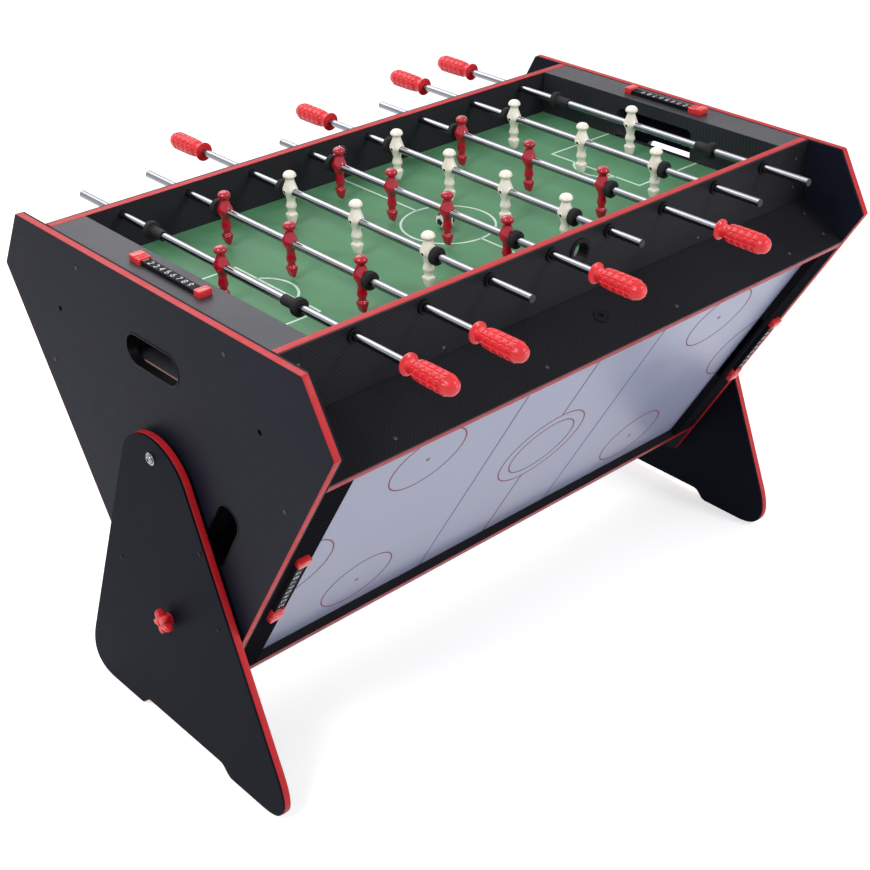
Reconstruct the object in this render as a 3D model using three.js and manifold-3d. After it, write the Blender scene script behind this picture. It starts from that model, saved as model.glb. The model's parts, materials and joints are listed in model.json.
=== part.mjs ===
// A turn-over games table: table football on top, air hockey on the near lower face and bumper pool on the
// hidden face. The three-sided cabinet turns on two pivot bolts between two legs, and a lobed knob on each
// leg locks it. Units are millimetres. X runs along the table, the near side is -Y, and Z is up. The origin
// is on the floor, midway between the legs.
import * as THREE from 'three';
import { mergeVertices } from 'three/addons/utils/BufferGeometryUtils.js';
import Module from 'manifold-3d';

const wasm = await Module();
wasm.setup();

// Driving sizes of the whole table
const cabinetLength = 1216;
const triangleSide = 997;
const vertexToBoard = 191.5;
const cornerCut = 122;
const pivotHeight = 576;
const boardThickness = 17;
const panelThickness = 15;
const panelCornerRadius = 5;
const faces = 3;

// Clearances and overruns
const seatGap = 0.3;
const runningGap = 0.6;
const cutOverrun = 5;
const roundSides = 12;
const fineSides = 16;

// What follows from them. Each playing face lies at faceHeight above the pivot in its own turned frame.
const root3 = Math.sqrt(3);
const half = 0.5;
const faceTurn = (2 * Math.PI) / faces;
const faceHeight = triangleSide / (2 * root3);
const outerHalf = triangleSide * half - vertexToBoard;
const innerHalf = outerHalf - boardThickness;
const valleyDepth = vertexToBoard / root3;
const innerValleyDepth = (vertexToBoard + boardThickness) / root3;
const panelOuter = cabinetLength * half;
const panelInner = panelOuter - panelThickness;
const bayEnd = panelInner - seatGap;
const bayHalf = innerHalf - seatGap;

// Football well, rods and their stops
const football = { wellDepth: 82, bedThickness: 9, railWidth: 63, wallThickness: 12, topThickness: 12 };
const goal = { halfWidth: 92, height: 58, cornerRadius: 14 };
const serve = { x: 0, depth: 34, holeRadius: 17, cupRadius: 23, cupStand: 2.5 };
const rod = { radius: 6.5, fromGoal: 67.3, depth: 17, boreGap: 0.75 };
const bush = { radius: 11.5, stand: 4 };
const stopper = { radius: 15, drumLength: 9.5, sleeveRadius: 8.8, sides: 10 };
const handle = { length: 97, gripRadius: 17, socketDepth: 66 };

// One row for each rod, from the left end: where its men stand across the table, how far its stoppers reach
// from its middle, the length of their sleeves, where its grip starts, its plain tip, and how far it is slid
// in the photographed pose.
const keeperLine = { men: [0], stop: 197.5, sleeve: 31, grip: 431, tip: 403 };
const threeLine = { men: [-175, 0, 175], stop: 199.5, sleeve: 0, grip: 428, tip: 403 };
const fourLine = { men: [-210, -70, 70, 210], stop: 234.5, sleeve: 0, grip: 400, tip: 376 };
const rods = [
  { line: keeperLine, team: 'red', slid: 9 },
  { line: threeLine, team: 'red', slid: 9 },
  { line: threeLine, team: 'white', slid: 5 },
  { line: fourLine, team: 'red', slid: 0 },
  { line: fourLine, team: 'white', slid: -2 },
  { line: threeLine, team: 'red', slid: 3 },
  { line: threeLine, team: 'white', slid: -1 },
  { line: keeperLine, team: 'white', slid: -2 },
];

// Men: reach below and above the rod, and body width
const man = { reach: 60, headTop: 35, bodyRadius: 13, footWidth: 15, footDepth: 12, footHeight: 18, sides: 8 };
// Outline shares, as [share of body radius, share of the height above the rod or of the reach below it]
const whiteManShares = [
  [0.48, -0.80], [0.48, -0.62], [0.72, -0.46], [0.55, -0.28], [0.62, -0.18], [1.0, -0.02], [1.0, 0.12],
  [0.55, 0.60], [0.92, 0.74], [0.82, 0.90], [0.40, 1.0],
];
const redManShares = [
  [0.44, -0.80], [0.44, -0.62], [0.64, -0.48], [0.50, -0.30], [0.58, -0.16], [1.0, -0.02], [0.95, 0.14],
  [0.50, 0.58], [0.86, 0.74], [0.80, 0.88], [0.34, 1.0],
];
// Grip outline, as [share of the grip radius, share of its length from the table side]
const gripShares = [
  [1.0, 0], [1.0, 0.035], [0.58, 0.06], [0.58, 0.20], [0.84, 0.30], [0.88, 0.42], [0.88, 0.85], [0.70, 0.96],
  [0.30, 1.0],
];

// Air hockey face
const hockey = { wellDepth: 16, bedThickness: 9, railWidth: 51, wallThickness: 10, topThickness: 6 };
const puckSlot = { halfWidth: 90, height: 10, cornerRadius: 2 };
const blower = { width: 140, length: 150, depth: 46, motorRadius: 42, motorHeight: 30, flange: 12, plate: 5 };
const powerInlet = { x: 10, fromEdge: 63, radius: 13, stand: 2, holeRadius: 4, pinRadius: 1.5, wellDepth: 8 };

// Bumper pool face
const pool = { wellDepth: 38, bedThickness: 12, railWidth: 51, wallThickness: 10, topThickness: 12 };
const cushion = { width: 28, noseHeight: 27, top: 34, undercut: 20 };
const pocket = { radius: 24, fromNose: 4, cupWall: 4, cupDepth: 45 };
const bumperPost = { radius: 14, height: 26, capRadius: 9, capHeight: 4 };
const postCross = { nearReach: 62, farReach: 124 };
const pocketPosts = { across: 62 };

// Ball and puck troughs behind the ends, and the oval windows they empty through
const windowCut = { halfWidth: 70, height: 53, depth: 95 };
const trough = { halfWidth: 100, cheek: 8, floor: 6 };

// Score bars on the end rails of the football and hockey faces
const scoreBar = { length: 186, width: 16, height: 7, blockLength: 14, blockWidth: 22, blockHeight: 11 };
const scoreSlider = { length: 15, wall: 3, roof: 3 };

// Legs, pivots and lock knobs
const leg = {
  thickness: 15, standOff: 8, topRadius: 93, topDrop: 55, footHalf: 305, footCornerRun: 48,
  footCornerRise: 84, footFlat: 140, archRise: 20, archEnd: 104,
};
const pivot = {
  radius: 4, washerRadius: 9, washerHeight: 2, headRadius: 7, headHeight: 4, nutRadius: 7.5, nutHeight: 6.5,
  spacerRadius: 15, hexSides: 6,
};
const knob = {
  drop: 311, lobes: 5, lobeRadius: 8, lobeReach: 15, coreRadius: 16, height: 15, hubRadius: 11, hubHeight: 7,
  studRadius: 4, studClearance: 0.5, socketRadius: 5, lobeSides: 8,
};

// Finishes: colour, roughness and metalness of each sub-part
const finishes = {
  panel: { color: 0x2d2f36, roughness: 0.6, metalness: 0 },
  carbon: { color: 0x2a2a2f, roughness: 0.45, metalness: 0 },
  rail: { color: 0x55565e, roughness: 0.5, metalness: 0 },
  pitch: { color: 0x4f8f62, roughness: 0.7, metalness: 0 },
  ice: { color: 0xc4c8dc, roughness: 0.3, metalness: 0 },
  cloth: { color: 0x2f6fae, roughness: 0.9, metalness: 0 },
  chrome: { color: 0xc9ccd0, roughness: 0.18, metalness: 1 },
  rubber: { color: 0x17181a, roughness: 0.8, metalness: 0 },
  redPlastic: { color: 0xe0303a, roughness: 0.3, metalness: 0 },
  redMan: { color: 0xa81c30, roughness: 0.3, metalness: 0 },
  whiteMan: { color: 0xe9e6d6, roughness: 0.35, metalness: 0 },
  motor: { color: 0x202124, roughness: 0.5, metalness: 0 },
};

// Solids: a closed geometry becomes a solid, and a solid becomes a geometry again
function solidOf(geometry) {
  const bare = geometry.clone();
  bare.deleteAttribute('normal');
  bare.deleteAttribute('uv');
  const merged = mergeVertices(bare);
  const vertProperties = new Float32Array(merged.attributes.position.array);
  const triVerts = new Uint32Array(merged.index.array);
  return new wasm.Manifold(new wasm.Mesh({ numProp: 3, vertProperties, triVerts }));
}

function geometryOf(solid) {
  const mesh = solid.getMesh();
  const geometry = new THREE.BufferGeometry();
  geometry.setAttribute('position', new THREE.Float32BufferAttribute(mesh.vertProperties, 3));
  geometry.setIndex(Array.from(mesh.triVerts));
  geometry.computeVertexNormals();
  return geometry;
}

function join(solids) {
  return solids.reduce((whole, next) => whole.add(next));
}

function cut(solid, tools) {
  return tools.reduce((left, tool) => left.subtract(tool), solid);
}

// Basic shapes. An outline is drawn in (y, z) and runs along X between two values of x.
const alongX = new THREE.Matrix4().makeBasis(
  new THREE.Vector3(0, 1, 0), new THREE.Vector3(0, 0, 1), new THREE.Vector3(1, 0, 0));

function runX(outline, fromX, toX, curveSegments = 4) {
  const options = { depth: toX - fromX, bevelEnabled: false, curveSegments };
  const geometry = new THREE.ExtrudeGeometry(outline, options);
  geometry.applyMatrix4(alongX);
  geometry.translate(fromX, 0, 0);
  return solidOf(geometry);
}

// A box between two corners
function block(fromX, toX, fromY, toY, fromZ, toZ) {
  const geometry = new THREE.BoxGeometry(toX - fromX, toY - fromY, toZ - fromZ);
  geometry.translate((fromX + toX) * half, (fromY + toY) * half, (fromZ + toZ) * half);
  return solidOf(geometry);
}

function polygon(points) {
  return new THREE.Shape(points.map(([y, z]) => new THREE.Vector2(y, z)));
}

// A closed outline whose corners are rounded; each corner is [y, z, radius]
function roundedPolygon(corners) {
  const shape = new THREE.Shape();
  corners.forEach(([y, z, radius], i) => {
    const here = new THREE.Vector2(y, z);
    const before = cornerAt(corners, i - 1).sub(here);
    const after = cornerAt(corners, i + 1).sub(here);
    const turn = before.angleTo(after);
    const reach = radius / Math.tan(turn * half);
    const start = here.clone().addScaledVector(before.normalize(), reach);
    const end = here.clone().addScaledVector(after.normalize(), reach);
    if (i === 0) shape.moveTo(start.x, start.y);
    else shape.lineTo(start.x, start.y);
    if (reach > 0) shape.quadraticCurveTo(y, z, end.x, end.y);
  });
  shape.closePath();
  return shape;
}

function cornerAt(corners, i) {
  const [y, z] = corners[(i + corners.length) % corners.length];
  return new THREE.Vector2(y, z);
}

// A slot with round ends, wide along y, centred on (0, z)
function slotOutline(halfWidth, height, z) {
  const radius = height * half;
  const shape = new THREE.Shape();
  shape.absarc(halfWidth - radius, z, radius, -Math.PI * half, Math.PI * half, false);
  shape.absarc(radius - halfWidth, z, radius, Math.PI * half, Math.PI * (1 + half), false);
  shape.closePath();
  return shape;
}

// Round bars. Each runs between two places along its axis.
function barX(radius, fromX, toX, y, z, sides = roundSides) {
  const geometry = new THREE.CylinderGeometry(radius, radius, toX - fromX, sides);
  geometry.rotateZ(-Math.PI * half);
  geometry.translate((fromX + toX) * half, y, z);
  return solidOf(geometry);
}

function barY(radius, fromY, toY, x, z, sides = roundSides) {
  const geometry = new THREE.CylinderGeometry(radius, radius, toY - fromY, sides);
  geometry.translate(x, (fromY + toY) * half, z);
  return solidOf(geometry);
}

function barZ(radius, fromZ, toZ, x, y, sides = roundSides) {
  const geometry = new THREE.CylinderGeometry(radius, radius, toZ - fromZ, sides);
  geometry.rotateX(Math.PI * half);
  geometry.translate(x, y, (fromZ + toZ) * half);
  return solidOf(geometry);
}

// A turned solid on the Y axis from [radius, y] points; the profile is closed onto the axis at both ends
function turnedY(profile, sides = roundSides) {
  const first = profile[0];
  const last = profile[profile.length - 1];
  const points = [[0, first[1]], ...profile, [0, last[1]]].map(([radius, y]) => new THREE.Vector2(radius, y));
  return solidOf(new THREE.LatheGeometry(points, sides));
}

// A ring on the Y axis: the profile of [radius, y] points closes on itself
function ringY(profile, sides = roundSides) {
  const points = [...profile, profile[0]].map(([radius, y]) => new THREE.Vector2(radius, y));
  return solidOf(new THREE.LatheGeometry(points, sides));
}

// Named meshes and the bodies' groups
const table = new THREE.Group();
const cabinet = new THREE.Group();
cabinet.position.z = pivotHeight;
table.add(cabinet);

function faceFrame(turns) {
  const frame = new THREE.Group();
  frame.rotation.x = faceTurn * turns;
  cabinet.add(frame);
  return frame;
}

const footballFace = faceFrame(0);
const hockeyFace = faceFrame(1);
const poolFace = faceFrame(2);

function piece(name, solid, finish, parent) {
  const mesh = new THREE.Mesh(geometryOf(solid), new THREE.MeshStandardMaterial(finish));
  mesh.name = name;
  parent.add(mesh);
  return mesh;
}

// End panels: the triangle with its vertices cut off, the pivot bore, a knob socket for each face, and a
// window for each face that has a trough
function panelOutline() {
  const reach = triangleSide * half - cornerCut;
  const corners = [];
  for (let k = 0; k < faces; k += 1) {
    const angle = -faceTurn * k;
    for (const across of [-reach, reach]) {
      const y = across * Math.cos(angle) - faceHeight * Math.sin(angle);
      const z = across * Math.sin(angle) + faceHeight * Math.cos(angle);
      corners.push([y, z, panelCornerRadius]);
    }
  }
  return roundedPolygon(corners);
}

function turnedFace(solid, turns) {
  return solid.rotate([(faceTurn * turns * 180) / Math.PI, 0, 0]);
}

function endPanel() {
  const body = runX(panelOutline(), panelInner, panelOuter);
  const window = runX(slotOutline(windowCut.halfWidth, windowCut.height, windowZ()),
    panelInner - cutOverrun, panelOuter + cutOverrun, 5);
  const socket = barX(knob.socketRadius, panelOuter - panelThickness * half, panelOuter + cutOverrun, 0,
    -knob.drop);
  const bore = barX(pivot.radius + runningGap, panelInner - cutOverrun, panelOuter + cutOverrun, 0, 0);
  const tools = [bore, window, turnedFace(window, 1)];
  for (let k = 0; k < faces; k += 1) {
    tools.push(turnedFace(socket, k));
  }
  return cut(body, tools);
}

function windowZ() {
  return faceHeight - windowCut.depth - windowCut.height * half;
}

function addEndPanels() {
  const solid = endPanel();
  piece('right_end_panel', solid, finishes.panel, cabinet);
  piece('left_end_panel', solid.mirror([1, 0, 0]), finishes.panel, cabinet);
}

// Side boards: square to their playing face, mitred where two of them meet in a valley
function sideBoard() {
  const mitreLift = seatGap;
  const outline = polygon([
    [-outerHalf, faceHeight],
    [-outerHalf, faceHeight - valleyDepth + mitreLift],
    [-innerHalf, faceHeight - innerValleyDepth + mitreLift],
    [-innerHalf, faceHeight],
  ]);
  return runX(outline, -bayEnd, bayEnd);
}

// The rods are spread evenly between the first and the last, which stand fromGoal in front of the goal walls
const rodSpan = (railInner(football) - rod.fromGoal) * 2;
const rodPitch = rodSpan / (rods.length - 1);

function rodX(i) {
  return (i - (rods.length - 1) * half) * rodPitch;
}

const rodZ = faceHeight - rod.depth;
const rodBore = rod.radius + rod.boreGap;

// The football boards carry a bush for each rod and the serving hole with its cup
function footballBoard() {
  const additions = [sideBoard()];
  const tools = [];
  const outside = -outerHalf - cutOverrun;
  const inside = -innerHalf + cutOverrun;
  for (let i = 0; i < rods.length; i += 1) {
    additions.push(barY(bush.radius, -outerHalf - bush.stand, -innerHalf, rodX(i), rodZ));
    tools.push(barY(rodBore, outside, inside, rodX(i), rodZ));
  }
  const serveZ = faceHeight - serve.depth;
  additions.push(barY(serve.cupRadius, -outerHalf - serve.cupStand, -innerHalf, serve.x, serveZ, fineSides));
  tools.push(barY(serve.holeRadius, outside, inside, serve.x, serveZ, fineSides));
  return cut(join(additions), tools);
}

// The upper hockey board carries the blower's inlet: a low round plate with a pin in its hole
function hockeyUpperBoard() {
  const plain = sideBoard().mirror([0, 1, 0]);
  const z = faceHeight - powerInlet.fromEdge;
  const face = outerHalf + powerInlet.stand;
  const collar = barY(powerInlet.radius, innerHalf, face, powerInlet.x, z);
  const well = barY(powerInlet.holeRadius, face - powerInlet.wellDepth, face + cutOverrun, powerInlet.x, z);
  const pin = barY(powerInlet.pinRadius, innerHalf, face - powerInlet.stand, powerInlet.x, z);
  return join([cut(join([plain, collar]), [well]), pin]);
}

function addSideBoards() {
  const near = footballBoard();
  piece('football_near_board', near, finishes.carbon, footballFace);
  piece('football_far_board', near.mirror([0, 1, 0]), finishes.carbon, footballFace);
  piece('hockey_upper_board', hockeyUpperBoard(), finishes.carbon, hockeyFace);
  piece('hockey_lower_board', sideBoard(), finishes.carbon, hockeyFace);
  piece('pool_upper_board', sideBoard(), finishes.carbon, poolFace);
  piece('pool_lower_board', sideBoard().mirror([0, 1, 0]), finishes.carbon, poolFace);
}

// Playing beds
function bed(face, endX) {
  const top = faceHeight - face.wellDepth;
  return block(-endX, endX, -bayHalf, bayHalf, top - face.bedThickness, top);
}

function railInner(face) {
  return panelInner - face.railWidth;
}

const cushionNose = railInner(pool) - cushion.width;
const pocketX = cushionNose - pocket.fromNose - pocket.radius;

// A cushion's outline, drawn with its nose towards -y. Its foot starts at footZ, and its back reaches behind
// the plane y = back by the root that holds it in a rail.
function cushionOutline(bedTop, footZ, back, root) {
  return polygon([
    [back + root, footZ],
    [back - cushion.undercut, footZ],
    [back - cushion.width, bedTop + cushion.noseHeight],
    [back + root, bedTop + cushion.top],
  ]);
}

// The pool bed carries its side cushions, its bumper posts and a cup under each pocket
function poolBed() {
  const top = faceHeight - pool.wellDepth;
  const endX = railInner(pool) - seatGap;
  const side = runX(cushionOutline(top, top - seatGap, bayHalf, 0), -endX, endX);
  const parts = [bed(pool, endX), side, side.mirror([0, 1, 0])];
  for (const [x, y] of postPlaces()) {
    parts.push(barZ(bumperPost.radius, top - seatGap, top + bumperPost.height, x, y));
    parts.push(barZ(bumperPost.capRadius, top, top + bumperPost.height + bumperPost.capHeight, x, y));
  }
  const cupFoot = top - pool.bedThickness - pocket.cupDepth;
  const holes = [];
  for (const x of [-pocketX, pocketX]) {
    parts.push(barZ(pocket.radius + pocket.cupWall, cupFoot, top - seatGap, x, 0, fineSides));
    holes.push(barZ(pocket.radius, cupFoot + pocket.cupWall, top + cutOverrun, x, 0, fineSides));
  }
  return cut(join(parts), holes);
}

function postPlaces() {
  const places = [];
  for (const reach of [postCross.nearReach, postCross.farReach]) {
    places.push([reach, 0], [-reach, 0], [0, reach], [0, -reach]);
  }
  for (const x of [-pocketX, pocketX]) {
    places.push([x, pocketPosts.across], [x, -pocketPosts.across]);
  }
  return places;
}

function addBeds() {
  piece('football_pitch', bed(football, railInner(football) - seatGap), finishes.pitch, footballFace);
  piece('hockey_surface', bed(hockey, railInner(hockey) - seatGap), finishes.ice, hockeyFace);
  piece('pool_bed', poolBed(), finishes.cloth, poolFace);
}

// End rails. Each is a top plate with a wall in front; where there is a goal, a trough leads to the window.
function railShell(face) {
  const inner = railInner(face);
  const bedTop = faceHeight - face.wellDepth;
  const wallFoot = bedTop - face.bedThickness;
  const top = block(inner, bayEnd, -bayHalf, bayHalf, faceHeight - face.topThickness, faceHeight);
  const wall = block(inner, inner + face.wallThickness, -bayHalf, bayHalf, wallFoot, faceHeight - seatGap);
  return [top, wall];
}

function troughParts(face) {
  const inner = railInner(face);
  const floorTop = faceHeight - windowCut.depth - windowCut.height;
  const bedUnder = faceHeight - face.wellDepth - face.bedThickness - seatGap;
  const cheekIn = trough.halfWidth - trough.cheek;
  const floor = block(inner, bayEnd, -trough.halfWidth, trough.halfWidth, floorTop - trough.floor, floorTop);
  const back = block(inner, inner + trough.cheek, -trough.halfWidth, trough.halfWidth,
    floorTop - trough.floor, bedUnder);
  const cheek = block(inner, bayEnd, cheekIn, trough.halfWidth, floorTop - trough.floor, bedUnder);
  const riser = block(inner, bayEnd, cheekIn, trough.halfWidth, floorTop, faceHeight - seatGap);
  return [floor, back, cheek, cheek.mirror([0, 1, 0]), riser, riser.mirror([0, 1, 0])];
}

// The mouth through the goal wall, with its upper corners rounded
function goalMouth(face, mouth) {
  const inner = railInner(face);
  const foot = faceHeight - face.wellDepth;
  const outline = roundedPolygon([
    [-mouth.halfWidth, foot, 0],
    [mouth.halfWidth, foot, 0],
    [mouth.halfWidth, foot + mouth.height, mouth.cornerRadius],
    [-mouth.halfWidth, foot + mouth.height, mouth.cornerRadius],
  ]);
  return runX(outline, inner - cutOverrun, inner + face.wallThickness + cutOverrun);
}

// The score bar: a plain bar between two end blocks
function scoreBarSolid(face) {
  const x = (railInner(face) + panelInner) * half;
  const reach = scoreBar.length * half;
  const bar = block(x - scoreBar.width * half, x + scoreBar.width * half, -reach, reach, faceHeight - seatGap,
    faceHeight + scoreBar.height);
  const end = block(x - scoreBar.blockWidth * half, x + scoreBar.blockWidth * half,
    reach - scoreBar.blockLength, reach, faceHeight - seatGap, faceHeight + scoreBar.blockHeight);
  return [bar, end, end.mirror([0, 1, 0])];
}

function footballEndRail() {
  const parts = [...railShell(football), ...troughParts(football), ...scoreBarSolid(football)];
  return cut(join(parts), [goalMouth(football, goal)]);
}

function hockeyEndRail() {
  const parts = [...railShell(hockey), ...troughParts(hockey), ...scoreBarSolid(hockey)];
  return cut(join(parts), [goalMouth(hockey, puckSlot)]);
}

function poolEndRail() {
  const bedTop = faceHeight - pool.wellDepth;
  const inner = railInner(pool);
  const profile = cushionOutline(bedTop, bedTop + seatGap, 0, pool.wallThickness * half);
  const cushionReach = bayHalf - cushion.width - seatGap;
  const endCushion = runX(profile, -cushionReach, cushionReach).rotate([0, 0, -90]).translate([inner, 0, 0]);
  return join([...railShell(pool), endCushion]);
}

function addEndRails() {
  const rails = [
    ['football', footballEndRail(), footballFace],
    ['hockey', hockeyEndRail(), hockeyFace],
    ['pool', poolEndRail(), poolFace],
  ];
  for (const [name, solid, frame] of rails) {
    piece(`${name}_right_end_rail`, solid, finishes.rail, frame);
    piece(`${name}_left_end_rail`, solid.mirror([1, 0, 0]), finishes.rail, frame);
  }
}

// A score slider sits astride its bar, parked against the bar's end block at -y
function scoreSliderSolid(face) {
  const x = (railInner(face) + panelInner) * half;
  const park = scoreBar.length * half - scoreBar.blockLength - seatGap;
  const side = scoreBar.width * half + seatGap;
  const under = faceHeight + seatGap;
  const roof = faceHeight + scoreBar.height + seatGap;
  const body = block(x - side - scoreSlider.wall, x + side + scoreSlider.wall, -park,
    scoreSlider.length - park, under, roof + scoreSlider.roof);
  const groove = block(x - side, x + side, -park - cutOverrun, scoreSlider.length - park + cutOverrun,
    under - cutOverrun, roof);
  return cut(body, [groove]);
}

// The left football slider is parked at the far end of its bar and the other three at the near end
function addScoreSliders() {
  const onFootball = scoreSliderSolid(football);
  const onHockey = scoreSliderSolid(hockey);
  const leftFootball = onFootball.mirror([1, 0, 0]).mirror([0, 1, 0]);
  piece('football_right_score_slider', onFootball, finishes.redPlastic, footballFace);
  piece('football_left_score_slider', leftFootball, finishes.redPlastic, footballFace);
  piece('hockey_right_score_slider', onHockey, finishes.redPlastic, hockeyFace);
  piece('hockey_left_score_slider', onHockey.mirror([1, 0, 0]), finishes.redPlastic, hockeyFace);
}

// The blower hangs under the hockey surface: a flanged box with a round motor
function addBlower() {
  const top = faceHeight - hockey.wellDepth - hockey.bedThickness - seatGap;
  const boxFoot = top - blower.depth;
  const halfLength = blower.length * half;
  const halfWidth = blower.width * half;
  const plate = block(-halfLength - blower.flange, halfLength + blower.flange, -halfWidth, halfWidth,
    top - blower.plate, top);
  const box = block(-halfLength, halfLength, -halfWidth, halfWidth, boxFoot, top);
  const motor = barZ(blower.motorRadius, boxFoot - blower.motorHeight, top - blower.plate, 0, 0, fineSides);
  piece('hockey_blower', join([plate, box, motor]), finishes.motor, hockeyFace);
}

// Men, all in one solid with their rod
function manSolid(team) {
  const shares = team === 'red' ? redManShares : whiteManShares;
  const profile = shares.map(([out, up]) => [
    out * man.bodyRadius,
    up * (up < 0 ? man.reach : man.headTop),
  ]);
  const body = turnedY(profile, man.sides).rotate([90, 0, 0]);
  const footTop = man.footHeight - man.reach;
  const foot = block(-man.footDepth * half, man.footDepth * half, -man.footWidth * half, man.footWidth * half,
    -man.reach, footTop);
  return join([body, foot]);
}

const towards = { red: -1, white: 1 };

function rodWithMen(row) {
  const side = towards[row.team];
  const gripEnd = side * (row.line.grip + handle.socketDepth - seatGap);
  const tip = -side * row.line.tip;
  const shaft = barY(rod.radius, Math.min(gripEnd, tip), Math.max(gripEnd, tip), 0, 0);
  const single = manSolid(row.team);
  return join([shaft, ...row.line.men.map((y) => single.translate([0, y, 0]))]);
}

// The hand grip: a turned body with a flange, a neck and two grooves, bored for the rod
function gripSolid() {
  const profile = gripShares.map(([out, along]) => [out * handle.gripRadius, along * handle.length]);
  const socket = barY(rod.radius + seatGap, -cutOverrun, handle.socketDepth, 0, 0);
  return cut(turnedY(profile), [socket]);
}

// A rubber stopper on the near side of a rod: a drum towards the side board and, on a keeper's rod, a sleeve
// towards its man
function stopperSolid(line) {
  const bore = rod.radius + runningGap;
  const shoulder = stopper.drumLength;
  const end = shoulder + line.sleeve;
  const drum = [[bore, 0], [stopper.radius, 0], [stopper.radius, shoulder]];
  const sleeve = [[stopper.sleeveRadius, shoulder], [stopper.sleeveRadius, end], [bore, end]];
  const back = line.sleeve > 0 ? sleeve : [[bore, shoulder]];
  return ringY([...drum, ...back], stopper.sides).translate([0, -line.stop, 0]);
}

function addRods() {
  const grip = gripSolid();
  rods.forEach((row, i) => {
    const frame = new THREE.Group();
    frame.position.set(rodX(i), row.slid, rodZ);
    footballFace.add(frame);
    const name = `rod_${i + 1}`;
    const isRed = row.team === 'red';
    piece(`${name}_players`, rodWithMen(row), isRed ? finishes.redMan : finishes.whiteMan, frame);
    const placed = grip.translate([0, row.line.grip, 0]);
    piece(`${name}_handle`, isRed ? placed.mirror([0, 1, 0]) : placed, finishes.redPlastic, frame);
    const stop = stopperSolid(row.line);
    piece(`${name}_near_stopper`, stop, finishes.rubber, frame);
    piece(`${name}_far_stopper`, stop.mirror([0, 1, 0]), finishes.rubber, frame);
  });
}

// Legs: a rounded top about the pivot, straight sides out to two feet, and a shallow arch between them
function legOutline() {
  const floor = -pivotHeight;
  const side = tangentSide();
  const arch = floor + leg.archRise;
  const shape = new THREE.Shape();
  shape.moveTo(leg.footFlat, floor);
  shape.lineTo(leg.footHalf - leg.footCornerRun, floor);
  const footCornerZ = floor + leg.footCornerRise;
  const cornerY = sideY(footCornerZ, side);
  shape.quadraticCurveTo(sideY(floor, side), floor, cornerY, footCornerZ);
  shape.lineTo(side.y, side.z);
  shape.absarc(0, -leg.topDrop, leg.topRadius, side.angle, Math.PI - side.angle, false);
  shape.lineTo(-cornerY, footCornerZ);
  shape.quadraticCurveTo(-sideY(floor, side), floor, leg.footCornerRun - leg.footHalf, floor);
  shape.lineTo(-leg.footFlat, floor);
  const sweep = (leg.footFlat - leg.archEnd) * half;
  shape.bezierCurveTo(sweep - leg.footFlat, floor, -leg.archEnd - sweep, arch, -leg.archEnd, arch);
  shape.lineTo(leg.archEnd, arch);
  shape.bezierCurveTo(leg.archEnd + sweep, arch, leg.footFlat - sweep, floor, leg.footFlat, floor);
  return shape;
}

// Where the straight side leaves the round top on its way to the foot's outer corner
function tangentSide() {
  const fall = pivotHeight - leg.topDrop;
  const span = Math.hypot(leg.footHalf, fall);
  const angle = Math.acos(leg.topRadius / span) - Math.atan2(fall, leg.footHalf);
  const y = leg.topRadius * Math.cos(angle);
  const z = leg.topRadius * Math.sin(angle) - leg.topDrop;
  return { angle, y, z };
}

// The straight side's place across the leg at a height
function sideY(z, side) {
  return side.y + (side.z - z) * Math.tan(side.angle);
}

const legInner = panelOuter + leg.standOff;
const legOuter = legInner + leg.thickness;

function legSolid() {
  const body = runX(legOutline(), legInner, legOuter, 20);
  const bore = barX(pivot.radius + seatGap * 2, legInner - cutOverrun, legOuter + cutOverrun, 0, 0);
  const studHole = barX(knob.studRadius + runningGap, legInner - cutOverrun, legOuter + cutOverrun, 0,
    -knob.drop);
  return cut(body, [bore, studHole]);
}

// The pivot bolt: washer and hexagon head outside, spacer between leg and panel, nut inside the cabinet
function pivotBolt() {
  const washerAt = legOuter + seatGap;
  const headAt = washerAt + pivot.washerHeight;
  const nutAt = panelInner - seatGap;
  const parts = [
    barX(pivot.radius, nutAt - pivot.nutHeight, headAt, 0, 0),
    barX(pivot.washerRadius, washerAt, headAt, 0, 0),
    barX(pivot.headRadius, headAt - seatGap, headAt + pivot.headHeight, 0, 0, pivot.hexSides),
    barX(pivot.spacerRadius, panelOuter + seatGap, legInner - seatGap, 0, 0),
    barX(pivot.nutRadius, nutAt - pivot.nutHeight, nutAt, 0, 0, pivot.hexSides),
  ];
  return join(parts);
}

// The lock knob: lobes round a core, a hub against the leg, and a stud in the leg's bore
function lockKnob() {
  const hubAt = legOuter + seatGap;
  const headAt = hubAt + knob.hubHeight;
  const z = -knob.drop;
  const parts = [
    barX(knob.studRadius, legInner + knob.studClearance, headAt, 0, z),
    barX(knob.hubRadius, hubAt, headAt + seatGap, 0, z),
    barX(knob.coreRadius, headAt, headAt + knob.height, 0, z),
  ];
  for (let k = 0; k < knob.lobes; k += 1) {
    const angle = (2 * Math.PI * k) / knob.lobes + Math.PI * half;
    parts.push(barX(knob.lobeRadius, headAt, headAt + knob.height, knob.lobeReach * Math.cos(angle),
      z + knob.lobeReach * Math.sin(angle), knob.lobeSides));
  }
  return join(parts);
}

function addStand() {
  const stand = new THREE.Group();
  stand.position.z = pivotHeight;
  table.add(stand);
  const pieces = [
    ['leg', legSolid(), finishes.panel],
    ['pivot_bolt', pivotBolt(), finishes.chrome],
    ['lock_knob', lockKnob(), finishes.redPlastic],
  ];
  for (const [name, solid, finish] of pieces) {
    piece(`right_${name}`, solid, finish, stand);
    piece(`left_${name}`, solid.mirror([1, 0, 0]), finish, stand);
  }
}

addEndPanels();
addSideBoards();
addBeds();
addEndRails();
addScoreSliders();
addBlower();
addRods();
addStand();

export default table;
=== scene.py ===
import json
import math
from contextlib import contextmanager

import bmesh
import bpy
from mathutils import Matrix, Vector


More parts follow.
